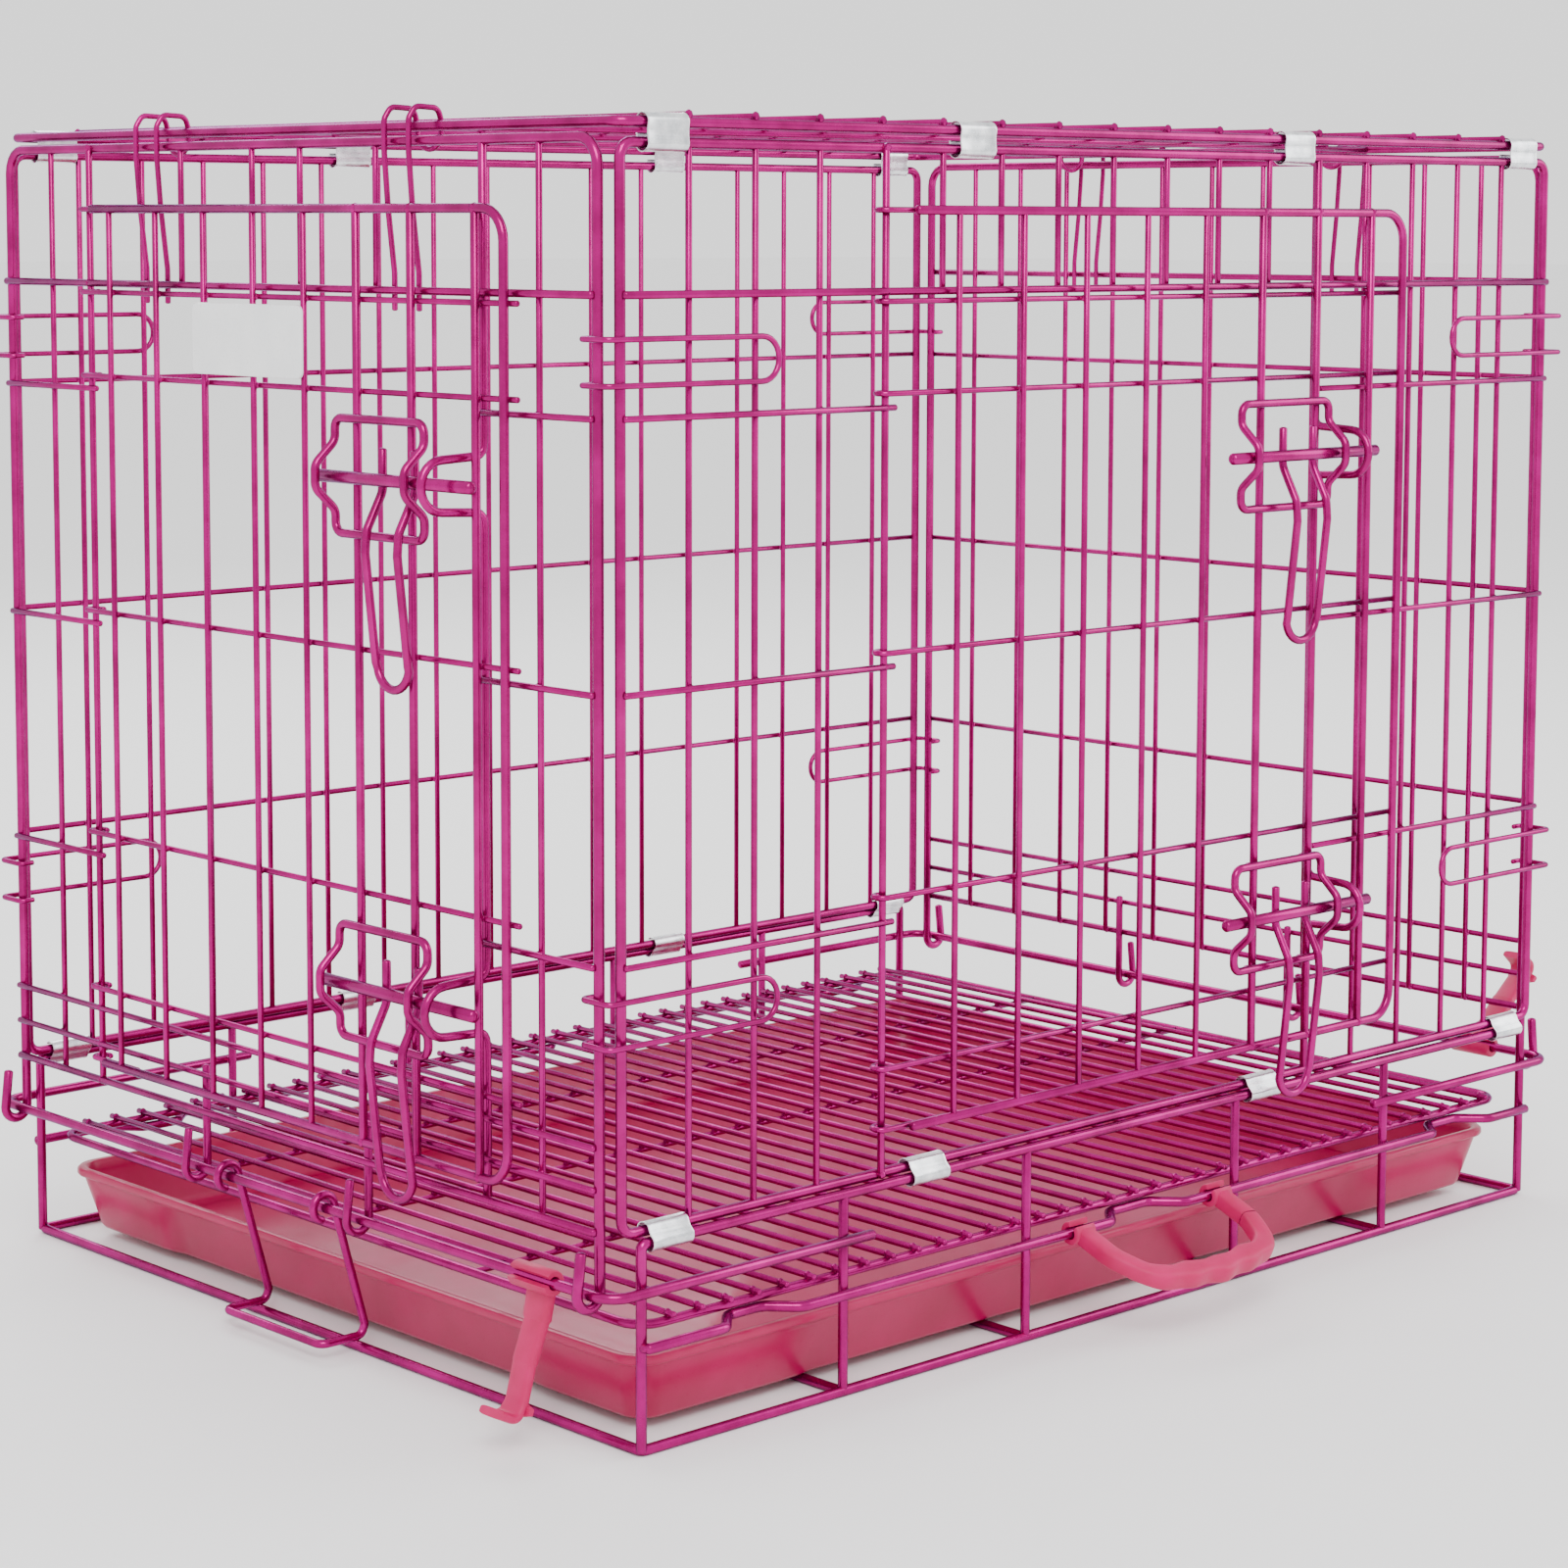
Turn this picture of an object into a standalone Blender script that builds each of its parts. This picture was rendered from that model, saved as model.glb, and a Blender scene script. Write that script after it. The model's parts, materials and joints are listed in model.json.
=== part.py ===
"""A folding wire dog crate: base frame, floor grid, tray, panels, doors, latches and clips.

Metres, +Z up. X runs along the long side, the front with the side door faces -Y,
and the left end with the end door faces -X. The origin is at the middle of the footprint.
"""
import math

import bmesh
import bpy
from mathutils import Matrix, Vector

MM = 0.001
GAP = 0.3 * MM

# Overall layout
LONG_PLANE = 219.5 * MM        # front and back panel planes, from the middle
END_PLANE = 308.5 * MM         # end panel planes, from the middle
LONG_HALF = 302.8 * MM         # half width of a long panel, to its frame wire
END_HALF = 213.0 * MM          # half width of an end panel, to its frame wire
RAIL_Z = 68.0 * MM             # end rail that an end panel hangs on
PANEL_BOTTOM = 91.0 * MM
LEVELS = (199.0 * MM, 307.0 * MM, 415.0 * MM)
HEADER_Z = 463.0 * MM
LONG_TOP = 522.0 * MM
END_TOP = 524.0 * MM
ROOF_Z = 530.0 * MM
LONG_PITCH = 2.0 * LONG_HALF / 17
END_PITCH = 2.0 * END_HALF / 12

# Wire radii
FRAME_R = 2.25 * MM
FILL_R = 1.4 * MM
POST_R = 1.9 * MM
BAR_R = 1.7 * MM
CURL_R = 1.3 * MM
SPRING_R = 1.25 * MM
HINGE_R = 1.6 * MM
BOLT_R = 2.7 * MM
THIN = 1.5 * MM                # wires under this radius get four sides

# Layers, as distances outward from a panel's plane
CROSS_OUT = 3.1 * MM
BAR_OUT = 2.9 * MM
HINGE_OUT = 2.2 * MM
CURL_RADIUS = HINGE_R + 0.7 * MM + CURL_R
DOOR_CROSS_OUT = HINGE_OUT + CURL_RADIUS
DOOR_OUT = DOOR_CROSS_OUT + CURL_R + FILL_R + GAP
GUIDE_OUT = DOOR_OUT + FRAME_R + GAP + POST_R
HANDLE_OUT = 13.3 * MM
BOLT_OUT = HANDLE_OUT + POST_R + 2 * GAP + BOLT_R
BOW_OUT = BOLT_OUT + BOLT_R + POST_R + 0.5 * MM
RAIL_OUT = 5.9 * MM
BULGE_OUT = 32.0 * MM
BULGE_HALF = 10.5 * MM

# Doors and latches
DOOR_TOP = 496.5 * MM
DOOR_LEVELS = (137.0 * MM, 210.0 * MM, 313.0 * MM, 421.0 * MM, 459.0 * MM)
LATCH_Z = {"upper": 386.0 * MM, "lower": 173.0 * MM}
HANDLE_DROP = 86.0 * MM
HANDLE_HALF = 10.8 * MM
GUIDE_HALF = 24.0 * MM
GUIDE_BEND = 4.0 * MM          # half height of the guide's bowed stretch
GUIDE_CORNER = 7.0 * MM
FRONT_DOOR_FREE = 178.0 * MM
END_DOOR_FREE = 166.0 * MM
FRONT_DOOR_BOTTOM = 111.0 * MM
END_DOOR_BOTTOM = 103.5 * MM
FRONT_BARS = [(-123.4 + 39.6 * k) * MM for k in range(8)]
END_BARS = [(-116.0 + 37.0 * k) * MM for k in range(7)] + [148.0 * MM]
THICK_BARS = 5                 # the door bars from this one on carry the latches
DOOR_INSET = 12.0 * MM         # the door's frame wire from its hinge wire
TAIL = 5.0 * MM                # how far a crosswire runs past the wire it ends on

# End panels below their lowest level
END_UPPER_Z = 126.6 * MM
END_LOWER_Z = 109.6 * MM
END_BAR_Z = 92.5 * MM
RAIL_HOOK_U = 60.5 * MM
END_HEADER_WIRES = (-71.3 * MM, -17.0 * MM, 18.0 * MM, 71.3 * MM)

# Spring hairpins, as heights and half widths
RING_Z = (("upper", 437.0 * MM), ("lower", 177.0 * MM))
RING_HALF = 9.0 * MM
RING_U = 232.0 * MM
TOP_HOOK_U = 91.5 * MM
TOP_HOOK_HALF = 8.2 * MM

# Base, grid and tray
BASE_X = 295.0 * MM
BASE_Y = LONG_PLANE + 3.0 * MM
BASE_TOP = PANEL_BOTTOM - 4.3 * MM
JOGGLE_Z = 45.0 * MM
JOGGLE_Y = BASE_Y + 4.1 * MM
JOGGLES = ((-253.0 * MM, -210.0 * MM), (-19.0 * MM, 31.0 * MM), (218.0 * MM, 264.0 * MM))
JOGGLE_RUN = 12.0 * MM
RAIL_LEG_X = 170.0 * MM
POSTS = (-183.0 * MM, -71.0 * MM, 71.0 * MM, 183.0 * MM)
POST_WIRE_R = 2.1 * MM
GRID_Z = 49.6 * MM
GRID_X = 289.0 * MM
GRID_Y = 214.0 * MM
GRID_WIRES = 37
TRAY_X = 288.0 * MM
TRAY_Y = 212.0 * MM
TRAY_BOTTOM = 4.9 * MM
TRAY_RIM = 35.0 * MM
GRID_CROSS_Y = 107.0 * MM
ROOF_CROSS_Y = 110.0 * MM
STOP_HALF = 36.0 * MM
STOP_Z = 7.4 * MM
FOLD_HOOK_U = 180.0 * MM
CARRY_X = 6.0 * MM

# Clips
CLIP_LENGTH = 21.5 * MM
CLIP_INNER = 3.1 * MM
CLIP_OUTER = 3.7 * MM
CLIP_X = (-280.7 * MM, -106.9 * MM, 106.9 * MM, 280.7 * MM)
CLIP_X_FRONT_LOW = (-280.7 * MM, -133.5 * MM, 89.6 * MM, 280.7 * MM)

PINK_WIRE = ((0.75, 0.02, 0.32, 1.0), 0.25, 0.8)
PINK_PLASTIC = ((0.85, 0.02, 0.16, 1.0), 0.45, 0.0)
TRAY_PLASTIC = ((0.55, 0.0, 0.08, 1.0), 0.3, 0.0)
ZINC = ((0.8, 0.82, 0.84, 1.0), 0.3, 1.0)
WHITE = ((0.85, 0.85, 0.85, 1.0), 0.4, 0.0)


class Face:
    """A side of the crate: u runs to the right seen from outside, n points outward."""

    def __init__(self, plane, turn):
        self.plane = plane
        self.turn = Matrix.Rotation(math.radians(turn), 3, "Z")
        self.normal = self.turn @ Vector((0.0, -1.0, 0.0))

    def at(self, u, n, z):
        return self.turn @ Vector((u, -(self.plane + n), z))


FRONT = Face(LONG_PLANE, 0)
BACK = Face(LONG_PLANE, 180)
LEFT = Face(END_PLANE, -90)
RIGHT = Face(END_PLANE, 90)
UP = Vector((0.0, 0.0, 1.0))


def arc(center, radius, start, end, steps):
    """Points of an arc in a plane, angles in degrees, as pairs."""
    turn = [math.radians(start + (end - start) * i / steps) for i in range(steps + 1)]
    return [(center[0] + radius * math.cos(a), center[1] + radius * math.sin(a)) for a in turn]


def section(point, into, onward, up, radius, sides, phase):
    """One ring of a wire's section, mitred where the wire turns from into to onward."""
    along = (into + onward).normalized()
    side = into.cross(up)
    corner = radius / math.cos(math.pi / sides)
    ring = []
    for s in range(sides):
        angle = 2 * math.pi * (s + phase) / sides
        offset = corner * (math.cos(angle) * up + math.sin(angle) * side)
        ring.append(point + offset - into * (offset.dot(along) / into.dot(along)))
    return ring


def tube(rings, closed=False):
    """Rings joined into one shell, as vertices and faces."""
    count, sides = len(rings), len(rings[0])
    verts = [v for ring in rings for v in ring]
    faces = []
    for i in range(count if closed else count - 1):
        j = (i + 1) % count
        for s in range(sides):
            t = (s + 1) % sides
            faces.append((i * sides + s, j * sides + s, j * sides + t, i * sides + t))
    if not closed:
        faces.append(tuple(range(sides)))
        faces.append(tuple(range(len(verts) - 1, len(verts) - 1 - sides, -1)))
    return verts, faces


def wire(points, radius, normal, closed=False, vertex_out=False, sides=None):
    """A wire swept along points, with mitred bends.

    A flat of its section faces the normal, or an edge does where vertex_out is set.
    """
    sides = sides or (4 if radius < THIN else 6)
    count = len(points)
    rings = []
    for i, point in enumerate(points):
        into = (point - points[i - 1]).normalized() if closed or i > 0 else None
        onward = (points[(i + 1) % count] - point).normalized() if closed or i < count - 1 else into
        into = into or onward
        up = normal - normal.dot(into) * into
        if up.length < 0.05:
            up = UP.cross(into) if abs(into.z) < 0.9 else Vector((1, 0, 0))
        up.normalize()
        rings.append(section(point, into, onward, up, radius, sides, 0.0 if vertex_out else 0.5))
    return tube(rings, closed)


def rounded(points, radius, closed=False, steps=2):
    """Points with each inner corner replaced by an arc of that radius."""
    count = len(points)
    out = []
    for i, point in enumerate(points):
        if not closed and i in (0, count - 1):
            out.append(point)
            continue
        a = (points[i - 1] - point).normalized()
        b = (points[(i + 1) % count] - point).normalized()
        half = a.angle(b) / 2
        reach = radius / math.tan(half)
        middle = point + (a + b).normalized() * (radius / math.sin(half))
        first = point + a * reach - middle
        last = point + b * reach - middle
        for s in range(steps + 1):
            out.append(middle + radius * first.normalized().slerp(last.normalized(), s / steps))
    return out


def material(name, look):
    mat = bpy.data.materials.new(name)
    mat.use_nodes = True
    shader = mat.node_tree.nodes["Principled BSDF"]
    shader.inputs["Base Color"].default_value = look[0]
    shader.inputs["Roughness"].default_value = look[1]
    shader.inputs["Metallic"].default_value = look[2]
    return mat


def mesh_object(name, pieces):
    """One object holding each piece as a closed shell with its faces pointing out."""
    mesh = bpy.data.meshes.new(name)
    verts, faces = [], []
    for piece_verts, piece_faces in pieces:
        base = len(verts)
        verts += piece_verts
        faces += [tuple(base + i for i in face) for face in piece_faces]
    mesh.from_pydata(verts, [], faces)
    bm = bmesh.new()
    bm.from_mesh(mesh)
    bmesh.ops.recalc_face_normals(bm, faces=bm.faces)
    bm.to_mesh(mesh)
    bm.free()
    obj = bpy.data.objects.new(name, mesh)
    bpy.context.scene.collection.objects.link(obj)
    return obj


def combine(obj, other, operation):
    """Apply a Boolean of obj with other, then remove other."""
    modifier = obj.modifiers.new("combine", "BOOLEAN")
    modifier.operation = operation
    modifier.object = other
    modifier.use_self = operation == "UNION"
    bpy.context.view_layer.update()
    graph = bpy.context.evaluated_depsgraph_get()
    mesh = bpy.data.meshes.new_from_object(obj.evaluated_get(graph))
    obj.modifiers.clear()
    obj.data = mesh
    bpy.data.objects.remove(other, do_unlink=True)


def finish(obj, look, origin=None):
    """Give the object its material, and its origin on its joint's axis."""
    obj.data.materials.clear()
    obj.data.materials.append(material(obj.name, look))
    if origin is not None:
        obj.data.transform(Matrix.Translation(-origin))
        obj.location = origin
    return obj


def weld(name, pieces, look, origin=None):
    """One body made of wires that run into each other."""
    obj = mesh_object(name, pieces[:1])
    if len(pieces) > 1:
        combine(obj, mesh_object(name + "_rest", pieces[1:]), "UNION")
    return finish(obj, look, origin)


def straight(face, u0, z0, u1, z1, n, radius):
    return wire([face.at(u0, n, z0), face.at(u1, n, z1)], radius, face.normal)


def long_loop(face):
    corners = ((-1, PANEL_BOTTOM), (1, PANEL_BOTTOM), (1, LONG_TOP), (-1, LONG_TOP))
    points = [face.at(s * LONG_HALF, 0, z) for s, z in corners]
    return wire(rounded(points, 4 * MM, True), FRAME_R, face.normal, True, True)


def jamb(face, u, top, bottom):
    """The strike wire: straight, with a loop bent outward at each latch."""
    points = [face.at(u, 0, top)]
    for z in (LATCH_Z["upper"], LATCH_Z["lower"]):
        points.append(face.at(u, 0, z + BULGE_HALF + 4 * MM))
        points.append(face.at(u, 4 * MM, z + BULGE_HALF))
        for n, h in arc((BULGE_OUT - BULGE_HALF, 0), BULGE_HALF, 90, -90, 5):
            points.append(face.at(u, n, z + h))
        points.append(face.at(u, 4 * MM, z - BULGE_HALF))
        points.append(face.at(u, 0, z - BULGE_HALF - 4 * MM))
    points.append(face.at(u, 0, bottom))
    return wire(points, POST_R, face.turn @ Vector((1, 0, 0)))


def back_panel():
    pieces = [long_loop(BACK)]
    for k in range(1, 17):
        u = -LONG_HALF + k * LONG_PITCH
        pieces.append(straight(BACK, u, PANEL_BOTTOM, u, LONG_TOP, 0, FILL_R))
    for z in LEVELS:
        pieces.append(straight(BACK, -LONG_HALF, z, LONG_HALF, z, CROSS_OUT, FILL_R))
    return weld("back_panel", pieces, PINK_WIRE, BACK.at(0, 0, PANEL_BOTTOM))


FRONT_HINGE_U = -LONG_HALF + 4 * LONG_PITCH
FRONT_JAMB_U = -LONG_HALF + 12 * LONG_PITCH
END_HINGE_U = -END_HALF + 2 * END_PITCH
END_JAMB_U = -END_HALF + 10 * END_PITCH


def front_panel():
    face = FRONT
    pieces = [long_loop(face)]
    for k in range(1, 17):
        u = -LONG_HALF + k * LONG_PITCH
        if k == 4:
            pieces.append(straight(face, u, PANEL_BOTTOM, u, LONG_TOP, HINGE_OUT, HINGE_R))
        elif k == 12:
            pieces.append(jamb(face, u, LONG_TOP, PANEL_BOTTOM))
        else:
            low = HEADER_Z if 4 < k < 12 else PANEL_BOTTOM
            pieces.append(straight(face, u, low, u, LONG_TOP, 0, FILL_R))
    pieces.append(straight(face, -LONG_HALF, HEADER_Z, LONG_HALF, HEADER_Z, BAR_OUT, BAR_R))
    for z in LEVELS:
        pieces.append(straight(face, -LONG_HALF, z, FRONT_HINGE_U + TAIL, z, CROSS_OUT, FILL_R))
        pieces.append(straight(face, FRONT_JAMB_U, z, LONG_HALF, z, CROSS_OUT, FILL_R))
    return weld("front_panel", pieces, PINK_WIRE, face.at(0, 0, PANEL_BOTTOM))


def rail_hook(face, u, radius, top):
    """A wire that runs down inside the end rail and hooks up round its outside."""
    points = [face.at(u, 0, top)]
    for n, h in arc((RAIL_OUT, 0), RAIL_OUT, 180, 360, 5):
        points.append(face.at(u, n, RAIL_Z + h))
    points.append(face.at(u, 2 * RAIL_OUT - 2 * MM, RAIL_Z + 17 * MM))
    return wire(points, radius, face.turn @ Vector((1, 0, 0)))


def end_frame(face):
    """The end panel's outer wire: a hook, up, across the top, down and a hook."""
    side = []
    for n, h in arc((RAIL_OUT, 0), RAIL_OUT, 180, 360, 5):
        side.append((n, RAIL_Z + h))
    side.append((2 * RAIL_OUT - 2 * MM, RAIL_Z + 17 * MM))
    low_left = [face.at(-END_HALF, n, z) for n, z in reversed(side)]
    low_right = [face.at(END_HALF, n, z) for n, z in side]
    top = rounded([low_left[-1], face.at(-END_HALF, 0, END_TOP), face.at(END_HALF, 0, END_TOP),
                   low_right[0]], 10 * MM)
    return low_left[:-1] + top + low_right[1:]


def hooked_loop(face):
    """The end frame's wire, with its section carried round each bend."""
    points = end_frame(face)
    tangent = (points[1] - points[0]).normalized()
    across = face.turn @ Vector((1, 0, 0))
    up = (across - across.dot(tangent) * tangent).normalized()
    rings = []
    for i, point in enumerate(points):
        into = (point - points[i - 1]).normalized() if i else tangent
        onward = (points[i + 1] - point).normalized() if i < len(points) - 1 else into
        up = (tangent.rotation_difference(into) @ up).normalized()
        tangent = into
        rings.append(section(point, into, onward, up, FRAME_R, 6, 0.5))
    return tube(rings)


def end_panel(name, face, door):
    pieces = [hooked_loop(face)]
    for k in range(1, 12):
        u = -END_HALF + k * END_PITCH
        if door and k == 2:
            pieces.append(straight(face, u, END_BAR_Z, u, END_TOP, HINGE_OUT, HINGE_R))
        elif door and k == 10:
            pieces.append(jamb(face, u, END_TOP, END_BAR_Z))
        elif not door or k in (1, 11):
            pieces.append(straight(face, u, END_BAR_Z, u, END_TOP, 0, FILL_R))
    if door:
        for u in END_HEADER_WIRES:
            pieces.append(straight(face, u, HEADER_Z, u, END_TOP, 0, FILL_R))
    for z in (HEADER_Z, END_BAR_Z):
        pieces.append(straight(face, -END_HALF, z, END_HALF, z, BAR_OUT, BAR_R))
    for z in (END_LOWER_Z, END_UPPER_Z):
        pieces.append(straight(face, -END_HALF, z, END_HALF, z, CROSS_OUT, FILL_R))
    for z in LEVELS:
        if door:
            pieces.append(straight(face, -END_HALF, z, END_HINGE_U + TAIL, z, CROSS_OUT, FILL_R))
            pieces.append(straight(face, END_JAMB_U, z, END_HALF, z, CROSS_OUT, FILL_R))
        else:
            pieces.append(straight(face, -END_HALF, z, END_HALF, z, CROSS_OUT, FILL_R))
    for u in (-RAIL_HOOK_U, RAIL_HOOK_U):
        pieces.append(rail_hook(face, u, POST_R, END_LOWER_Z + 3 * MM))
    return weld(name, pieces, PINK_WIRE, face.at(0, RAIL_OUT, RAIL_Z))


def curl_wire(face, hinge_u, end_u, z):
    """A door crosswire whose end is curled round the hinge wire."""
    points = [face.at(end_u, DOOR_CROSS_OUT, z)]
    for u, n in arc((hinge_u, HINGE_OUT), CURL_RADIUS, 90, 300, 6):
        points.append(face.at(u, n, z))
    return wire(points, CURL_R, UP)


def door(name, face, hinge_u, free_u, bottom, bars):
    pieces = []
    inner = hinge_u + DOOR_INSET
    corners = ((inner, DOOR_TOP), (free_u, DOOR_TOP), (free_u, bottom), (inner, bottom))
    loop = rounded([face.at(u, DOOR_OUT, z) for u, z in corners], 12 * MM)
    pieces.append(wire(loop, FRAME_R - 0.2 * MM, face.normal))
    for number, u in enumerate(bars):
        radius = POST_R if number >= THICK_BARS else FILL_R
        pieces.append(straight(face, u, bottom, u, DOOR_TOP, DOOR_OUT, radius))
    for z in DOOR_LEVELS:
        pieces.append(curl_wire(face, hinge_u, free_u + TAIL, z))
    for z in (bottom, DOOR_TOP):
        pieces.append(curl_wire(face, hinge_u, hinge_u + 35 * MM, z))
    return weld(name, pieces, PINK_WIRE, face.at(hinge_u, HINGE_OUT, bottom))


def latch(prefix, face, z, guide, handle_u, bolt):
    """A latch: a wire guide on the door, a bolt that slides in it, and its handle."""
    knee = 0.6 * GUIDE_HALF
    side = ((GUIDE_OUT, -GUIDE_HALF), (GUIDE_OUT, -knee), (BOW_OUT, -GUIDE_BEND),
            (BOW_OUT, GUIDE_BEND), (GUIDE_OUT, knee), (GUIDE_OUT, GUIDE_HALF))
    loop = [face.at(guide[0], n, z + h) for n, h in side]
    loop += [face.at(guide[1], n, z + h) for n, h in reversed(side)]
    points = []
    count = len(loop)
    for i, point in enumerate(loop):
        if i % 6 in (0, 5):
            before, after = loop[i - 1], loop[(i + 1) % count]
            points.append(point + (before - point).normalized() * GUIDE_CORNER)
            points.append(point + (after - point).normalized() * GUIDE_CORNER)
        else:
            points.append(point)
    across = face.turn @ Vector((1, 0, 0))
    weld(prefix + "_guide", [wire(points, POST_R, face.normal + across * 0.4, True)], PINK_WIRE)
    axis = face.at(handle_u, BOLT_OUT, z)
    rod = wire([face.at(bolt[0], BOLT_OUT, z), face.at(bolt[1], BOLT_OUT, z)], BOLT_R,
               face.normal, sides=8)
    weld(prefix + "_bolt", [rod], PINK_WIRE, axis)
    leg = ((HANDLE_OUT, 12 * MM), (HANDLE_OUT, -5 * MM), (21.8 * MM, -21 * MM),
           (22.5 * MM, -30 * MM), (17.5 * MM, -HANDLE_DROP + HANDLE_HALF))
    path = [face.at(handle_u - HANDLE_HALF, n, z + h) for n, h in leg]
    for u, h in arc((handle_u, -HANDLE_DROP + HANDLE_HALF), HANDLE_HALF, 180, 360, 6)[1:-1]:
        path.append(face.at(u, 16.8 * MM, z + h))
    path += [face.at(handle_u + HANDLE_HALF, n, z + h) for n, h in reversed(leg)]
    weld(prefix + "_handle", [wire(path, POST_R, face.normal + across * 0.3)], PINK_WIRE, axis)


def roof_panel():
    corners = ((-1, -1), (1, -1), (1, 1), (-1, 1))
    points = [Vector((x * LONG_HALF, y * LONG_PLANE, ROOF_Z)) for x, y in corners]
    pieces = [wire(rounded(points, 4 * MM, True), FRAME_R, UP, True)]
    for k in range(1, 17):
        x = -LONG_HALF + k * LONG_PITCH
        ends = [Vector((x, s * LONG_PLANE, ROOF_Z + CROSS_OUT)) for s in (-1, 1)]
        pieces.append(wire(ends, FILL_R, UP))
    for y in (-ROOF_CROSS_Y, 0.0, ROOF_CROSS_Y):
        ends = [Vector((s * LONG_HALF, y, ROOF_Z)) for s in (-1, 1)]
        pieces.append(wire(ends, FILL_R, UP))
    return weld("top_panel", pieces, PINK_WIRE, Vector((0, LONG_PLANE, LONG_TOP)))


def joggled_rod(side):
    y, inner = side * JOGGLE_Y, side * GRID_Y
    points = [Vector((-BASE_X, y, JOGGLE_Z))]
    for x0, x1 in JOGGLES:
        bend = ((x0, y), (x0 + JOGGLE_RUN, inner), (x1 - JOGGLE_RUN, inner), (x1, y))
        points += [Vector((x, depth, JOGGLE_Z)) for x, depth in bend]
    points.append(Vector((BASE_X, y, JOGGLE_Z)))
    return wire(points, FRAME_R, UP)


def base_frame():
    pieces = []
    corners = ((-1, -1), (1, -1), (1, 1), (-1, 1))
    foot = [Vector((x * BASE_X, y * BASE_Y, FRAME_R)) for x, y in corners]
    pieces.append(wire(foot, FRAME_R, UP, True))
    for side in (-1, 1):
        y = side * BASE_Y
        arch = [Vector((-BASE_X, y, FRAME_R)), Vector((-BASE_X, y, BASE_TOP)),
                Vector((BASE_X, y, BASE_TOP)), Vector((BASE_X, y, FRAME_R))]
        pieces.append(wire(rounded(arch, 2.4 * MM), FRAME_R, Vector((0, 1, 0))))
        pieces.append(joggled_rod(side))
        out = side * (END_PLANE + RAIL_OUT)
        leg_x = side * RAIL_LEG_X
        ends = ((leg_x, -1), (out, -1), (out, 1), (leg_x, 1))
        legs = [Vector((x, s * JOGGLE_Y, RAIL_Z)) for x, s in ends]
        pieces.append(wire(rounded(legs, 11 * MM), FRAME_R, UP))
    for x in POSTS:
        low = FRAME_R - 0.05 * MM
        post = [Vector((x, -BASE_Y, BASE_TOP)), Vector((x, -BASE_Y, low)),
                Vector((x, BASE_Y, low)), Vector((x, BASE_Y, BASE_TOP))]
        pieces.append(wire(post, POST_WIRE_R, Vector((1, 0, 0)), False, True))
    return weld("base_frame", pieces, PINK_WIRE)


def floor_grid():
    corners = ((-1, -1), (1, -1), (1, 1), (-1, 1))
    points = [Vector((x * GRID_X, y * GRID_Y, GRID_Z)) for x, y in corners]
    pieces = [wire(rounded(points, 12 * MM, True), 2 * MM, UP, True)]
    for k in range(1, GRID_WIRES):
        x = -GRID_X + k * 2 * GRID_X / GRID_WIRES
        ends = [Vector((x, s * (GRID_Y + 4 * MM), GRID_Z + 3 * MM)) for s in (-1, 1)]
        pieces.append(wire(ends, FILL_R, UP))
    for y in (-GRID_CROSS_Y, 0.0, GRID_CROSS_Y):
        ends = [Vector((s * GRID_X, y, GRID_Z)) for s in (-1, 1)]
        pieces.append(wire(ends, CURL_R, UP))
    return weld("floor_grid", pieces, PINK_WIRE)


def tray_ring(inset, z, grow=0.0):
    x, y, r = TRAY_X - inset, TRAY_Y - inset, max(14 * MM - inset * 0.3, 6 * MM)
    points = []
    for cx, cy, start in ((1, 1, 0), (-1, 1, 90), (-1, -1, 180), (1, -1, 270)):
        center = (cx * (x - r), cy * (y - r))
        points += [Vector((px, py, z)) for px, py in arc(center, r, start, start + 90, 3)]
    return points


def tray():
    """An open tray with sloping walls, a rolled rim and a low floor."""
    levels = ((9.5, TRAY_BOTTOM), (2.5, TRAY_RIM - 4 * MM), (0.0, TRAY_RIM - 4 * MM),
              (0.0, TRAY_RIM), (4.2, TRAY_RIM), (11.5, TRAY_BOTTOM + 2 * MM))
    rings = [tray_ring(inset * MM, z) for inset, z in levels]
    size = len(rings[0])
    verts = [v for ring in rings for v in ring]
    faces = [tuple(range(size)), tuple(range(len(verts) - size, len(verts)))]
    for i in range(len(rings) - 1):
        for s in range(size):
            t = (s + 1) % size
            faces.append((i * size + s, i * size + t, (i + 1) * size + t, (i + 1) * size + s))
    return finish(mesh_object("tray", [(verts, faces)]), TRAY_PLASTIC)


def band(name, x, first, second):
    """A sheet clip: a flat band round two parallel rods, given as y, z pairs."""
    lean = math.degrees(math.atan2(second[1] - first[1], second[0] - first[0]))
    rings = []
    for radius in (CLIP_INNER, CLIP_OUTER):
        shape = arc(second, radius, lean - 90, lean + 90, 5)
        shape += arc(first, radius, lean + 90, lean + 270, 5)
        rings.append(shape)
    size = len(rings[0])
    verts = []
    for end in (x - CLIP_LENGTH / 2, x + CLIP_LENGTH / 2):
        verts += [Vector((end, y, z)) for ring in rings for y, z in ring]
    faces = []
    for s in range(size):
        t = (s + 1) % size
        inner0, outer0, inner1, outer1 = 0, size, 2 * size, 3 * size
        faces.append((inner0 + s, inner0 + t, outer0 + t, outer0 + s))
        faces.append((inner1 + s, outer1 + s, outer1 + t, inner1 + t))
        faces.append((inner0 + s, inner1 + s, inner1 + t, inner0 + t))
        faces.append((outer0 + s, outer0 + t, outer1 + t, outer1 + s))
    finish(mesh_object(name, [(verts, faces)]), ZINC)


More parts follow.
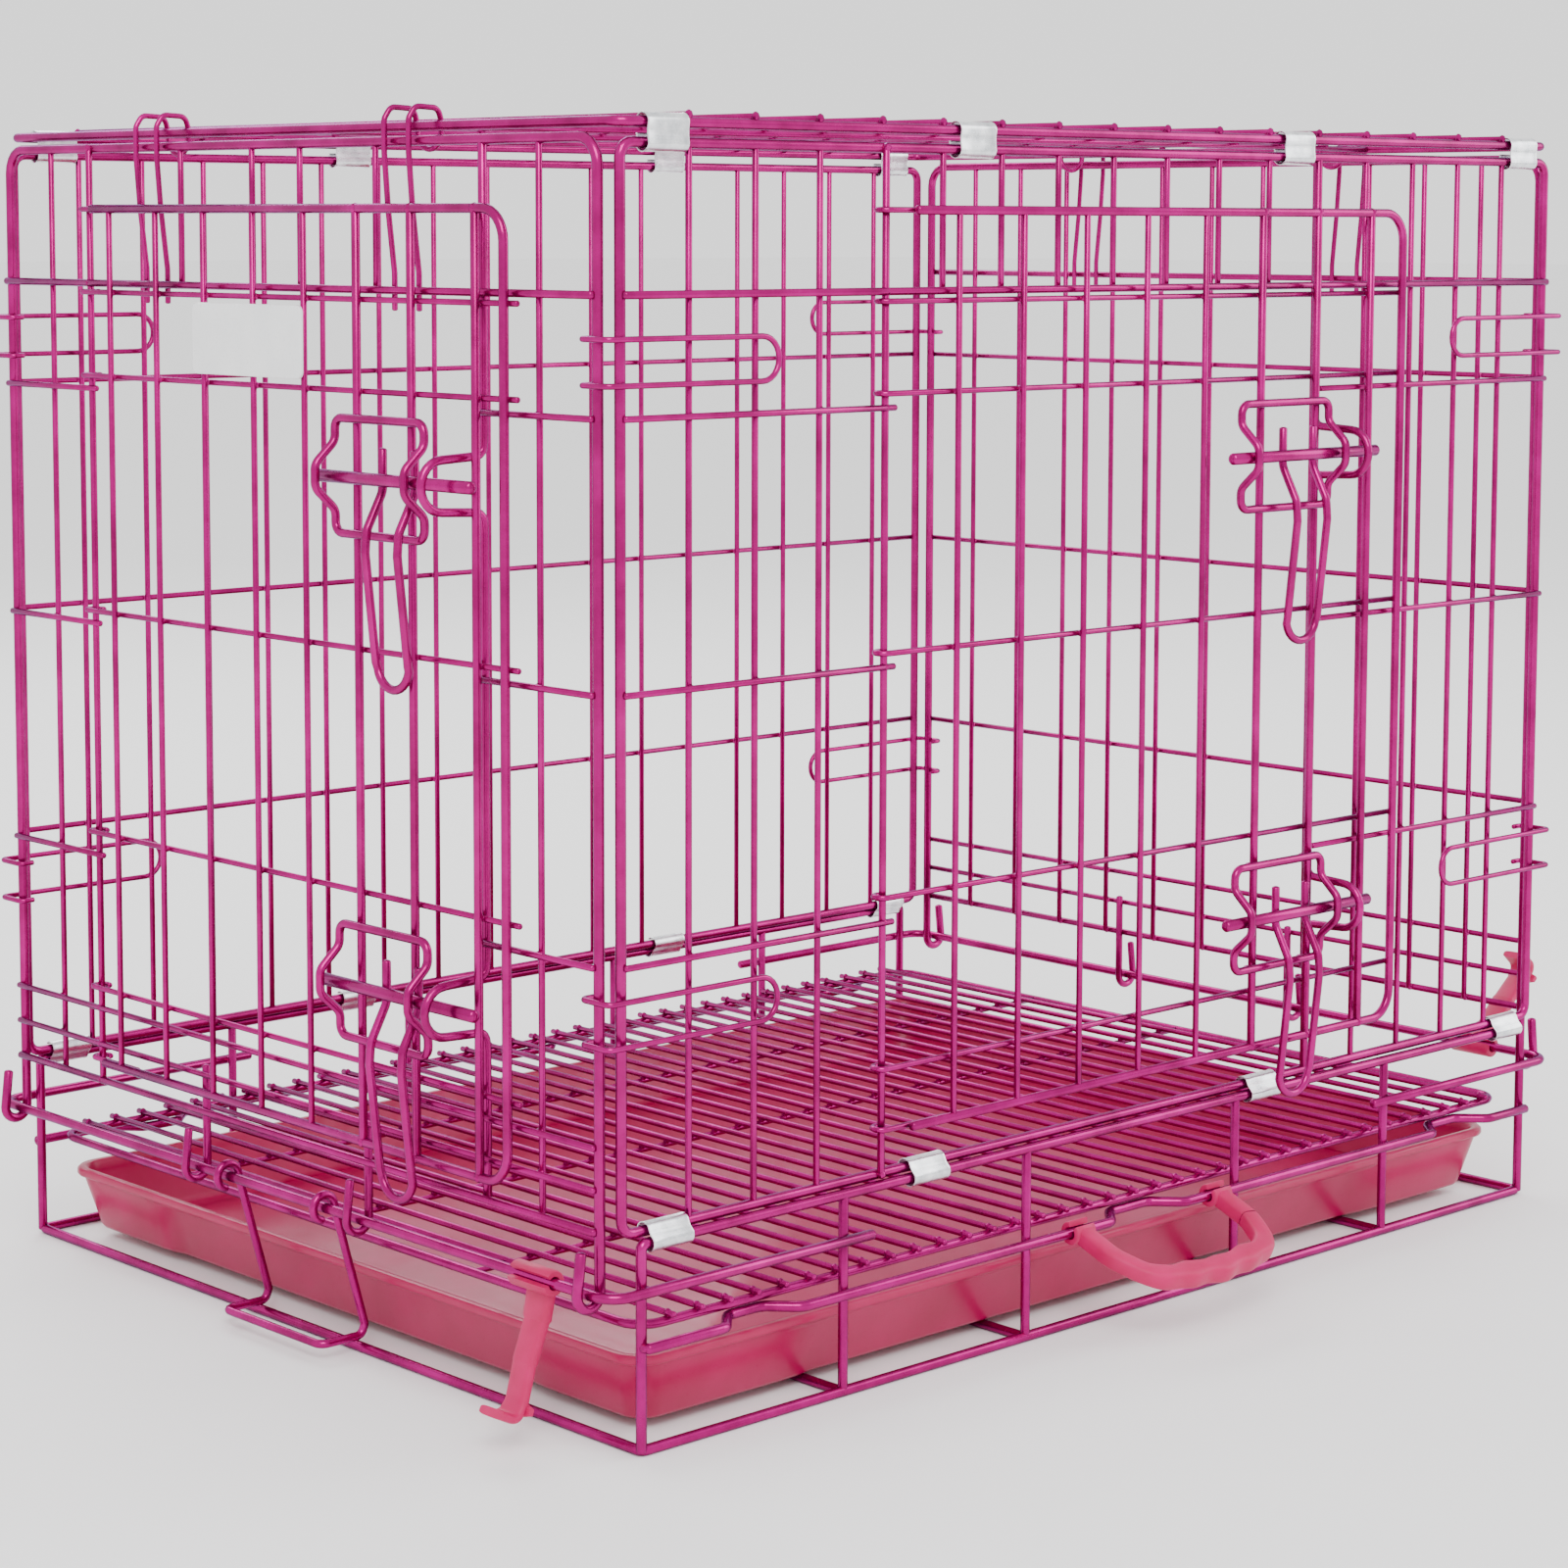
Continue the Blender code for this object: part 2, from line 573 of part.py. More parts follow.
def clips():
    for side, word in ((-1, "front"), (1, "back")):
        panel = side * LONG_PLANE
        for number, x in enumerate(CLIP_X_FRONT_LOW if side < 0 else CLIP_X, 1):
            low = (side * BASE_Y, BASE_TOP)
            band("clip_bottom_%s_%d" % (word, number), x, low, (panel, PANEL_BOTTOM))
        for number, x in enumerate(CLIP_X, 1):
            band("clip_top_%s_%d" % (word, number), x, (panel, LONG_TOP), (panel, ROOF_Z))


def corner_ring(name, face, side, z):
    """A spring-wire hairpin on a long panel that wraps round the end panel's frame wire."""
    n = FRAME_R + 1.5 * MM + SPRING_R
    reach = END_PLANE + 4.6 * MM
    inner = -(LONG_PLANE - END_HALF) - 5.6 * MM
    leg = ((RING_U, n), (reach - 3 * MM, n), (reach, n - 3 * MM), (reach, inner + 3 * MM),
           (reach - 3 * MM, inner), (END_PLANE - 2 * MM, inner))
    path = [face.at(side * u, d, z + RING_HALF) for u, d in reversed(leg)]
    for u, h in arc((RING_U, 0), RING_HALF, 90, 270, 4)[1:-1]:
        path.append(face.at(side * u, n, z + h))
    path += [face.at(side * u, d, z - RING_HALF) for u, d in leg]
    weld(name, [wire(path, SPRING_R, UP + face.normal * 0.5)], PINK_WIRE)


def top_hook(name, face, u):
    """A spring-wire hairpin on an end panel that hooks over the top panel's end wire."""
    half = TOP_HOOK_HALF
    over = END_PLANE - LONG_HALF
    inside = BAR_OUT - BAR_R - 1.6 * MM
    outside = FRAME_R + 2.2 * MM
    leg = ((inside, HEADER_Z - 8 * MM), (inside, HEADER_Z + 7 * MM), (2.7 * MM, DOOR_TOP),
           (outside, END_TOP - 5 * MM), (outside, ROOF_Z + 3 * MM), (1 * MM, ROOF_Z + 8 * MM),
           (-over - 5 * MM, ROOF_Z + 7.5 * MM), (-over - 7 * MM, ROOF_Z + 1 * MM))
    path = [face.at(u - half, n, z) for n, z in leg]
    for d, h in arc((0, ROOF_Z), half, 180, 360, 4)[1:-1]:
        path.append(face.at(u + d, -over - 7 * MM, h - 1 * MM))
    path += [face.at(u + half, n, z) for n, z in reversed(leg)]
    weld(name, [wire(path, SPRING_R, face.turn @ Vector((1, 0.3, 0.2)))], PINK_WIRE)


def tray_stop():
    """A swinging wire gate on the left end rail that keeps the tray in."""
    face, radius = LEFT, POST_R
    ring = FRAME_R + 1.35 * MM + radius
    leg = [(RAIL_OUT + n, RAIL_Z + h) for n, h in arc((0, 0), ring, -80, 180, 7)]
    leg += [(-15.5 * MM, 12 * MM), (-13.5 * MM, STOP_Z), (8 * MM, STOP_Z)]
    path = [face.at(-STOP_HALF, n, z) for n, z in leg]
    path += [face.at(STOP_HALF, n, z) for n, z in reversed(leg)]
    pieces = [wire(path, radius, face.turn @ Vector((1, 0.2, 0.2)))]
    return weld("tray_stop", pieces, PINK_WIRE, face.at(0, RAIL_OUT, RAIL_Z))


def box(low, high):
    xs, ys, zs = zip(low, high)
    verts = [Vector((x, y, z)) for x in xs for y in ys for z in zs]
    faces = [(0, 1, 3, 2), (4, 6, 7, 5), (0, 4, 5, 1), (2, 3, 7, 6), (0, 2, 6, 4), (1, 5, 7, 3)]
    return verts, faces


def rod_bore(length):
    ends = [Vector((-length, 0, 0)), Vector((length, 0, 0))]
    return wire(ends, 2.95 * MM, Vector((0, 0, 1)), sides=8)


def moulded(name, solids, cutters, tilt, turn, origin):
    """A moulded plastic piece made round a rod along X, then tilted and turned into place."""
    obj = mesh_object(name, solids[:1])
    if len(solids) > 1:
        combine(obj, mesh_object(name + "_more", solids[1:]), "UNION")
    for cutter in cutters:
        combine(obj, mesh_object(name + "_cut", [cutter]), "DIFFERENCE")
    spin = Matrix.Rotation(math.radians(turn), 4, "Z") @ Matrix.Rotation(math.radians(tilt), 4, "X")
    obj.data.transform(Matrix.Translation(origin) @ spin)
    finish(obj, PINK_PLASTIC, origin)


def carry_handle():
    """Two split clips on the front rod, and a grip bar between them."""
    solids = [box((-53 * MM, -50 * MM, -5 * MM), (53 * MM, 5.4 * MM, 5 * MM))]
    cutters = [box((-39 * MM, -33 * MM, -20 * MM), (39 * MM, 20 * MM, 20 * MM)), rod_bore(80 * MM),
               box((-80 * MM, -2 * MM, 0), (80 * MM, 2 * MM, 20 * MM))]
    moulded("carry_handle", solids, cutters, 22, 0, Vector((CARRY_X, -JOGGLE_Y, JOGGLE_Z)))


def fold_hook(name, face, tilt, turn):
    """A plastic hook that clips on an end rail and holds the folded crate shut."""
    solids = [box((-12 * MM, -5.4 * MM, -5.4 * MM), (12 * MM, 5.4 * MM, 5.4 * MM)),
              box((-6 * MM, -52 * MM, -5 * MM), (9 * MM, -4 * MM, 1.5 * MM)),
              box((-6.4 * MM, -58 * MM, -6 * MM), (9.4 * MM, -50 * MM, 9 * MM))]
    cutters = [rod_bore(40 * MM), box((-40 * MM, -2 * MM, 0), (40 * MM, 2 * MM, 20 * MM))]
    u = FOLD_HOOK_U if face is LEFT else -FOLD_HOOK_U
    moulded(name, solids, cutters, tilt, turn, face.at(u, RAIL_OUT, RAIL_Z))


def name_plate():
    """A blank plate on the end door's wires."""
    z0, z1 = 425 * MM, 456 * MM
    n0 = DOOR_OUT + POST_R + GAP
    low, high = LEFT.at(-45 * MM, n0 + 2 * MM, z0), LEFT.at(35 * MM, n0, z1)
    corners = [sorted(pair) for pair in zip(low, high)]
    plate = box([c[0] for c in corners], [c[1] for c in corners])
    finish(mesh_object("name_plate", [plate]), WHITE)


def center_on_footprint():
    """Put the middle of the whole crate's footprint on the world origin."""
    bpy.context.view_layer.update()
    corners = [obj.matrix_world @ Vector(c) for obj in bpy.data.objects for c in obj.bound_box]
    shift = Vector((0.0, 0.0, 0.0))
    for axis in (0, 1):
        values = [corner[axis] for corner in corners]
        shift[axis] = -(min(values) + max(values)) / 2
    for obj in bpy.data.objects:
        obj.location += shift


def build():
    for obj in list(bpy.data.objects):
        bpy.data.objects.remove(obj, do_unlink=True)
    base_frame()
    floor_grid()
    tray()
    front_panel()
    back_panel()
    roof_panel()
    end_panel("left_end_panel", LEFT, True)
    end_panel("right_end_panel", RIGHT, False)
    door("front_door", FRONT, FRONT_HINGE_U, FRONT_DOOR_FREE, FRONT_DOOR_BOTTOM, FRONT_BARS)
    door("end_door", LEFT, END_HINGE_U, END_DOOR_FREE, END_DOOR_BOTTOM, END_BARS)
    for word, z in LATCH_Z.items():
        latch("front_%s_latch" % word, FRONT, z, (56 * MM, 118.5 * MM), 96.3 * MM, (44 * MM, 147 * MM))
        latch("end_%s_latch" % word, LEFT, z, (59.5 * MM, 120 * MM), 103 * MM, (55 * MM, 157 * MM))
    clips()
    for word, z in RING_Z:
        corner_ring("spring_front_left_%s" % word, FRONT, -1, z)
        corner_ring("spring_front_right_%s" % word, FRONT, 1, z)
        corner_ring("spring_back_left_%s" % word, BACK, 1, z)
        corner_ring("spring_back_right_%s" % word, BACK, -1, z)
    for word, face in (("left", LEFT), ("right", RIGHT)):
        front = 1 if face is LEFT else -1
        top_hook("top_hook_%s_back" % word, face, -front * TOP_HOOK_U)
        top_hook("top_hook_%s_front" % word, face, front * TOP_HOOK_U)
    tray_stop()
    carry_handle()
    fold_hook("left_fold_hook", LEFT, 72, -90)
    fold_hook("right_fold_hook", RIGHT, -40, 90)
    name_plate()
    center_on_footprint()


build()
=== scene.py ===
"""Looks of the wire dog crate: round wires with weld spots, clips, plastic parts and a studio.

Metres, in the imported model's frame. Each piece stands for the CAD node that it is named after.
"""
import json
import math

import bpy
from mathutils import Matrix, Vector


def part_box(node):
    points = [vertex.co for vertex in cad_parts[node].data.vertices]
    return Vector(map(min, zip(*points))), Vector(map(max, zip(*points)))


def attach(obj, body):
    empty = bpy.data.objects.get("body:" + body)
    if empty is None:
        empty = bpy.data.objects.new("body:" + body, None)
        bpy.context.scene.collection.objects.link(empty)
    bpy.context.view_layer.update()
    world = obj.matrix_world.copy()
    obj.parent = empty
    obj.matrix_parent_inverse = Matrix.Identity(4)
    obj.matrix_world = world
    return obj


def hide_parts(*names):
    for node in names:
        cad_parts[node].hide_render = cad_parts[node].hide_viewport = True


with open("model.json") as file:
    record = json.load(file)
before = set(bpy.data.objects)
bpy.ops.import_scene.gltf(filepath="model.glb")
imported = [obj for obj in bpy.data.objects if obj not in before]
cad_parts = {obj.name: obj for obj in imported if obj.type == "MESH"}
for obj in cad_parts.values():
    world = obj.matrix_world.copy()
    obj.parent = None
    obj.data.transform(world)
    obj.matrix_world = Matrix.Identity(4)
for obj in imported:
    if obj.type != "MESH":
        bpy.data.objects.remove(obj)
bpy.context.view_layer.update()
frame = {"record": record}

MM = 0.001
GAP = 0.3 * MM

# Layout, repeated from the CAD model
LONG_PLANE = 219.5 * MM
END_PLANE = 308.5 * MM
LONG_HALF = 302.8 * MM
END_HALF = 213.0 * MM
RAIL_Z = 68.0 * MM
PANEL_BOTTOM = 91.0 * MM
LEVELS = (199.0 * MM, 307.0 * MM, 415.0 * MM)
HEADER_Z = 463.0 * MM
LONG_TOP = 522.0 * MM
END_TOP = 524.0 * MM
ROOF_Z = 530.0 * MM
LONG_PITCH = 2.0 * LONG_HALF / 17
END_PITCH = 2.0 * END_HALF / 12
FRONT_HINGE_U = -LONG_HALF + 4 * LONG_PITCH
FRONT_JAMB_U = -LONG_HALF + 12 * LONG_PITCH
END_HINGE_U = -END_HALF + 2 * END_PITCH
END_JAMB_U = -END_HALF + 10 * END_PITCH

# Wire radii
FRAME_R = 2.25 * MM
FILL_R = 1.4 * MM
POST_R = 1.9 * MM
BAR_R = 1.7 * MM
CURL_R = 1.3 * MM
SPRING_R = 1.25 * MM
HINGE_R = 1.6 * MM
BOLT_R = 2.7 * MM

# Layers, as distances outward from a panel's plane
CROSS_OUT = 3.1 * MM
BAR_OUT = 2.9 * MM
HINGE_OUT = 2.2 * MM
CURL_RADIUS = HINGE_R + 0.7 * MM + CURL_R
DOOR_CROSS_OUT = HINGE_OUT + CURL_RADIUS
DOOR_OUT = DOOR_CROSS_OUT + CURL_R + FILL_R + GAP
GUIDE_OUT = DOOR_OUT + FRAME_R + GAP + POST_R
HANDLE_OUT = 13.3 * MM
BOLT_OUT = HANDLE_OUT + POST_R + 2 * GAP + BOLT_R
BOW_OUT = BOLT_OUT + BOLT_R + POST_R + 0.5 * MM
RAIL_OUT = 5.9 * MM
BULGE_OUT = 32.0 * MM
BULGE_HALF = 10.5 * MM

# Doors and latches
DOOR_TOP = 496.5 * MM
DOOR_LEVELS = (137.0 * MM, 210.0 * MM, 313.0 * MM, 421.0 * MM, 459.0 * MM)
LATCH_Z = {"upper": 386.0 * MM, "lower": 173.0 * MM}
HANDLE_DROP = 86.0 * MM
HANDLE_HALF = 10.8 * MM
GUIDE_HALF = 24.0 * MM
FRONT_BARS = [(-123.4 + 39.6 * k) * MM for k in range(8)]
END_BARS = [(-116.0 + 37.0 * k) * MM for k in range(7)] + [148.0 * MM]
THICK_BARS = 5
DOOR_INSET = 12.0 * MM
TAIL = 5.0 * MM
FRONT_DOOR_FREE, FRONT_DOOR_BOTTOM = 178 * MM, 111 * MM
END_DOOR_FREE, END_DOOR_BOTTOM = 166 * MM, 103.5 * MM
FRONT_GUIDE, FRONT_HANDLE_U, FRONT_BOLT = (56 * MM, 118.5 * MM), 96.3 * MM, (44 * MM, 147 * MM)
END_GUIDE, END_HANDLE_U, END_BOLT = (59.5 * MM, 120 * MM), 103 * MM, (55 * MM, 157 * MM)

# End panels below their lowest level
END_UPPER_Z = 126.6 * MM
END_LOWER_Z = 109.6 * MM
END_BAR_Z = 92.5 * MM
RAIL_HOOK_U = 60.5 * MM
END_HEADER_WIRES = (-71.3 * MM, -17.0 * MM, 18.0 * MM, 71.3 * MM)

# Spring hairpins
RING_Z = (("upper", 437.0 * MM), ("lower", 177.0 * MM))
RING_HALF = 9.0 * MM
RING_U = 232.0 * MM
TOP_HOOK_U = 91.5 * MM
TOP_HOOK_HALF = 8.2 * MM

# Base, grid and tray
BASE_X = 295.0 * MM
BASE_Y = LONG_PLANE + 3.0 * MM
BASE_TOP = PANEL_BOTTOM - 4.3 * MM
JOGGLE_Z = 45.0 * MM
JOGGLE_Y = BASE_Y + 4.1 * MM
JOGGLES = ((-253.0 * MM, -210.0 * MM), (-19.0 * MM, 31.0 * MM), (218.0 * MM, 264.0 * MM))
JOGGLE_RUN = 12.0 * MM
RAIL_LEG_X = 170.0 * MM
POSTS = (-183.0 * MM, -71.0 * MM, 71.0 * MM, 183.0 * MM)
GRID_Z = 49.6 * MM
GRID_X = 289.0 * MM
GRID_Y = 214.0 * MM
GRID_WIRES = 37
GRID_CROSS_Y = 107.0 * MM
ROOF_CROSS_Y = 110.0 * MM
TRAY_X = 288.0 * MM
TRAY_Y = 212.0 * MM
TRAY_BOTTOM = 4.9 * MM
TRAY_RIM = 35.0 * MM
TRAY_RECESS = 2.2 * MM
STOP_HALF = 36.0 * MM
STOP_Z = 7.4 * MM
FOLD_HOOK_U = 180.0 * MM
CARRY_X = 6.0 * MM

# Clips
CLIP_LENGTH = 21.5 * MM
CLIP_R = 3.1 * MM
CLIP_SHEET = 0.6 * MM
CLIP_X = (-280.7 * MM, -106.9 * MM, 106.9 * MM, 280.7 * MM)
CLIP_X_FRONT_LOW = (-280.7 * MM, -133.5 * MM, 89.6 * MM, 280.7 * MM)

LOW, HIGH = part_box("base_frame")
CENTRE = Vector(((LOW.x + HIGH.x) / 2, (LOW.y + HIGH.y) / 2, 0.0))
CORNERS = ((-1, -1), (1, -1), (1, 1), (-1, 1))
BODIES = frame["record"]["behaviour"]["bodies"]
BODY_OF = {node: body for body, nodes in BODIES.items() for node in nodes}


class Side:
    """A flat side of the crate: u runs along it, n points out of it and z runs up it."""

    def __init__(self, origin, along, out, up=(0, 0, 1)):
        self.origin = CENTRE + Vector(origin)
        self.along, self.out, self.up = Vector(along), Vector(out), Vector(up)

    def at(self, u, n, z):
        return self.origin + u * self.along + n * self.out + z * self.up


FRONT = Side((0, -LONG_PLANE, 0), (1, 0, 0), (0, -1, 0))
BACK = Side((0, LONG_PLANE, 0), (-1, 0, 0), (0, 1, 0))
LEFT = Side((-END_PLANE, 0, 0), (0, -1, 0), (-1, 0, 0))
RIGHT = Side((END_PLANE, 0, 0), (0, 1, 0), (1, 0, 0))
ROOF = Side((0, 0, ROOF_Z), (1, 0, 0), (0, 0, 1), (0, 1, 0))
DECK = Side((0, 0, GRID_Z), (1, 0, 0), (0, 0, 1), (0, 1, 0))


def arc(center, radius, start, end, steps):
    """Points of an arc in a plane, angles in degrees, as pairs."""
    turn = [math.radians(start + (end - start) * i / steps) for i in range(steps + 1)]
    return [(center[0] + radius * math.cos(a), center[1] + radius * math.sin(a)) for a in turn]


def bent(path, radius, closed=False, steps=5):
    """Points with each corner turned on an arc, of that radius or as large as fits."""
    count = len(path)
    out = []
    for i, point in enumerate(path):
        if not closed and i in (0, count - 1):
            out.append(point)
            continue
        before, after = path[i - 1] - point, path[(i + 1) % count] - point
        room = 0.48 * min(before.length, after.length)
        a, b = before.normalized(), after.normalized()
        half = a.angle(b) / 2
        if half > math.radians(89):
            out.append(point)
            continue
        bend = min(radius, room * math.tan(half))
        middle = point + (a + b).normalized() * (bend / math.sin(half))
        first = (point + a * (bend / math.tan(half)) - middle).normalized()
        last = (point + b * (bend / math.tan(half)) - middle).normalized()
        out += [middle + bend * first.slerp(last, s / steps) for s in range(steps + 1)]
    return out


class Shell:
    """Vertices and faces of one piece while it is put together."""

    def __init__(self):
        self.verts, self.faces = [], []

    def add(self, verts, faces):
        base = len(self.verts)
        self.verts += verts
        self.faces += [tuple(base + i for i in face) for face in faces]

    def loft(self, rings, closed=False, caps=True):
        """Skin a row of rings of the same size."""
        count, sides = len(rings), len(rings[0])
        faces = []
        for i in range(count if closed else count - 1):
            j = (i + 1) % count
            for s in range(sides):
                t = (s + 1) % sides
                faces.append((i * sides + s, j * sides + s, j * sides + t, i * sides + t))
        if caps and not closed:
            last = (count - 1) * sides
            faces.append(tuple(range(sides)))
            faces.append(tuple(range(last + sides - 1, last - 1, -1)))
        self.add([v for ring in rings for v in ring], faces)

    def sheet(self, rings, size):
        """Skin rings that go out along a sheet and back, and close its two end edges."""
        first = len(self.verts)
        self.loft(rings, caps=False)
        for base in (first, first + (len(rings) - 1) * 2 * size):
            self.faces += [(base + i, base + i + 1, base + 2 * size - 2 - i,
                            base + 2 * size - 1 - i) for i in range(size - 1)]

    def wire(self, points, radius, closed=False, sides=12):
        """A round wire along points, with its section carried round each bend and domed ends."""
        count = len(points)
        tangent = (points[1] - points[0]).normalized()
        up = tangent.orthogonal().normalized()
        rings = []
        for i, point in enumerate(points):
            into = (point - points[i - 1]).normalized() if closed or i else tangent
            onward = into
            if closed or i < count - 1:
                onward = (points[(i + 1) % count] - point).normalized()
            along = (into + onward).normalized()
            if i:
                up = tangent.rotation_difference(into) @ up
            tangent = into
            side = into.cross(up)
            ring = []
            for s in range(sides):
                angle = 2 * math.pi * s / sides
                offset = radius * (math.cos(angle) * up + math.sin(angle) * side)
                ring.append(point + offset - into * (offset.dot(along) / into.dot(along)))
            rings.append(ring)
        if not closed:
            rings = self.domed(rings[0], points[0] - points[1])[::-1] + rings
            rings += self.domed(rings[-1], points[-1] - points[-2])
        self.loft(rings, closed)

    @staticmethod
    def domed(ring, out):
        """Two smaller rings beyond a wire's end ring."""
        middle = sum(ring, Vector()) / len(ring)
        reach = out.normalized() * (ring[0] - middle).length
        return [[middle + (v - middle) * wide + reach * far for v in ring]
                for wide, far in ((0.86, 0.22), (0.45, 0.42))]

    def weld(self, center, axis, radius):
        """The small upset bead where two wires are resistance welded."""
        axis = axis.normalized()
        side = axis.orthogonal().normalized()
        other = axis.cross(side)
        rings = []
        for turn in (-75, -40, 0, 40, 75):
            height, wide = math.sin(math.radians(turn)), math.cos(math.radians(turn))
            rings.append([center + radius * (1.15 * height * axis + wide * (
                math.cos(a) * side + math.sin(a) * other))
                for a in (2 * math.pi * s / 8 for s in range(8))])
        self.loft(rings)


def lattice(shell, side, verticals, crosses, beads=()):
    """Wires (u, z0, z1, n, r) crossed by wires (z, u0, u1, n, r), with a weld at each crossing.

    beads are further heights at which each upright is welded to a wire drawn elsewhere.
    """
    for u, z0, z1, n, r in verticals:
        shell.wire([side.at(u, n, z0), side.at(u, n, z1)], r)
    for z, u0, u1, n, r in crosses:
        shell.wire([side.at(u0, n, z), side.at(u1, n, z)], r)
    for u, z0, z1, n, r in verticals:
        for z, u0, u1, depth, cross_r in crosses:
            if min(u0, u1) - MM < u < max(u0, u1) + MM and z0 - MM < z < z1 + MM:
                shell.weld(side.at(u, (n + depth) / 2, z), side.out, min(r, cross_r) * 1.22)
        for z in beads:
            if z0 - MM < z < z1 + MM:
                shell.weld(side.at(u, n, z), side.out, r * 1.25)


def piece(node, shell, slot, sharp=35):
    """One object from the shell, standing for the CAD node and riding on its body."""
    mesh = bpy.data.meshes.new(node + "_look")
    mesh.from_pydata(shell.verts, [], shell.faces)
    mesh.validate()
    mesh.shade_smooth()
    mesh.set_sharp_from_angle(angle=math.radians(sharp))
    obj = bpy.data.objects.new(node + "_look", mesh)
    bpy.context.scene.collection.objects.link(obj)
    obj.data.materials.append(MATERIALS[slot])
    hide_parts(node)
    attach(obj, BODY_OF[node])
    return obj


# Materials


class Nodes:
    """A material's node tree, with short calls for what the materials here share."""

    def __init__(self, name):
        self.material = bpy.data.materials.new(name)
        self.material.use_nodes = True
        self.tree = self.material.node_tree
        self.shader = self.tree.nodes["Principled BSDF"]
        self.place = self.tree.nodes.new("ShaderNodeTexCoord").outputs["Object"]

    def set(self, **values):
        for name, value in values.items():
            self.shader.inputs[name.replace("_", " ")].default_value = value

    def noise(self, scale, detail=3.0, rough=0.5, stretch=None):
        """Noise with that many cells a metre."""
        source = self.place
        if stretch:
            mapping = self.tree.nodes.new("ShaderNodeMapping")
            mapping.inputs["Scale"].default_value = stretch
            self.tree.links.new(source, mapping.inputs["Vector"])
            source = mapping.outputs["Vector"]
        texture = self.tree.nodes.new("ShaderNodeTexNoise")
        texture.inputs["Scale"].default_value = scale
        texture.inputs["Detail"].default_value = detail
        texture.inputs["Roughness"].default_value = rough
        self.tree.links.new(source, texture.inputs["Vector"])
        return texture.outputs["Fac"]

    def ramp(self, source, stops, target):
        """Drive a shader input from a grey source through colour stops."""
        ramp = self.tree.nodes.new("ShaderNodeValToRGB")
        elements = ramp.color_ramp.elements
        elements[0].position, elements[0].color = stops[0]
        elements[1].position, elements[1].color = stops[-1]
        for position, color in stops[1:-1]:
            elements.new(position).color = color
        self.tree.links.new(source, ramp.inputs["Fac"])
        self.tree.links.new(ramp.outputs["Color"], self.shader.inputs[target])

    def rough(self, source, low, high):
        spread = self.tree.nodes.new("ShaderNodeMapRange")
        spread.inputs["To Min"].default_value = low
        spread.inputs["To Max"].default_value = high
        self.tree.links.new(source, spread.inputs["Value"])
        self.tree.links.new(spread.outputs["Result"], self.shader.inputs["Roughness"])

    def bump(self, source, strength, depth):
        bump = self.tree.nodes.new("ShaderNodeBump")
        bump.inputs["Strength"].default_value = strength
        bump.inputs["Distance"].default_value = depth
        self.tree.links.new(source, bump.inputs["Height"])
        self.tree.links.new(bump.outputs["Normal"], self.shader.inputs["Normal"])


def candy_wire():
    """Translucent magenta lacquer over bright wire, with purple at the edges."""
    paint = Nodes("candy_wire")
    paint.set(Metallic=0.85, Specular_Tint=(0.28, 0.02, 0.5, 1.0), Coat_Weight=0.2,
              Coat_Roughness=0.07, Coat_IOR=1.45)
    thick = paint.noise(38.0, 4.0, 0.6)
    paint.ramp(thick, ((0.3, (0.24, 0.0, 0.085, 1.0)), (0.52, (0.35, 0.0, 0.135, 1.0)),
                       (0.74, (0.45, 0.0, 0.19, 1.0))), "Base Color")
    paint.rough(paint.noise(210.0), 0.16, 0.34)
    paint.bump(paint.noise(900.0, 2.0), 0.12, 0.1 * MM)
    return paint.material


def zinc_clip():
    """Bright zinc sheet, rolled along the clip, with dull patches."""
    zinc = Nodes("zinc_clip")
    zinc.set(Metallic=1.0, Coat_Weight=0.15)
    zinc.ramp(zinc.noise(160.0, 4.0, 0.65), ((0.32, (0.56, 0.58, 0.61, 1.0)),
                                              (0.68, (0.9, 0.91, 0.93, 1.0))), "Base Color")
    rolled = zinc.noise(260.0, 3.0, 0.6, (0.15, 4.0, 4.0))
    zinc.rough(rolled, 0.14, 0.4)
    zinc.bump(rolled, 0.25, 0.08 * MM)
    return zinc.material


def tray_plastic():
    """Glossy crimson sheet with a fine pressed grain."""
    sheet = Nodes("tray_plastic")
    sheet.set(Specular_IOR_Level=0.28, Coat_Weight=0.1, Coat_Roughness=0.12)
    sheet.ramp(sheet.noise(24.0, 4.0, 0.6), ((0.3, (0.34, 0.0, 0.055, 1.0)),
                                             (0.7, (0.44, 0.0, 0.085, 1.0))), "Base Color")
    grain = sheet.noise(1500.0, 3.0, 0.7)
    sheet.rough(grain, 0.2, 0.42)
    sheet.bump(grain, 0.3, 0.12 * MM)
    return sheet.material


def pink_plastic():
    """Hot pink moulded plastic with a spark-eroded grain."""
    plastic = Nodes("pink_plastic")
    plastic.set(Specular_IOR_Level=0.3, Subsurface_Weight=0.03)
    plastic.ramp(plastic.noise(60.0, 4.0, 0.55), ((0.3, (0.42, 0.0, 0.07, 1.0)),
                                                  (0.7, (0.52, 0.0, 0.105, 1.0))), "Base Color")
    grain = plastic.noise(1300.0, 3.0, 0.7)
    plastic.rough(grain, 0.36, 0.6)
    plastic.bump(grain, 0.35, 0.15 * MM)
    return plastic.material


def white_plate():
    """A white laminated plate, slightly uneven."""
    plate = Nodes("white_plate")
    plate.set(Specular_IOR_Level=0.5, Coat_Weight=0.3, Coat_Roughness=0.1)
    plate.ramp(plate.noise(45.0, 3.0), ((0.3, (0.8, 0.81, 0.82, 1.0)),
                                        (0.7, (0.9, 0.9, 0.9, 1.0))), "Base Color")
    plate.rough(plate.noise(500.0), 0.22, 0.36)
    plate.bump(plate.noise(700.0, 2.0), 0.08, 0.05 * MM)
    return plate.material


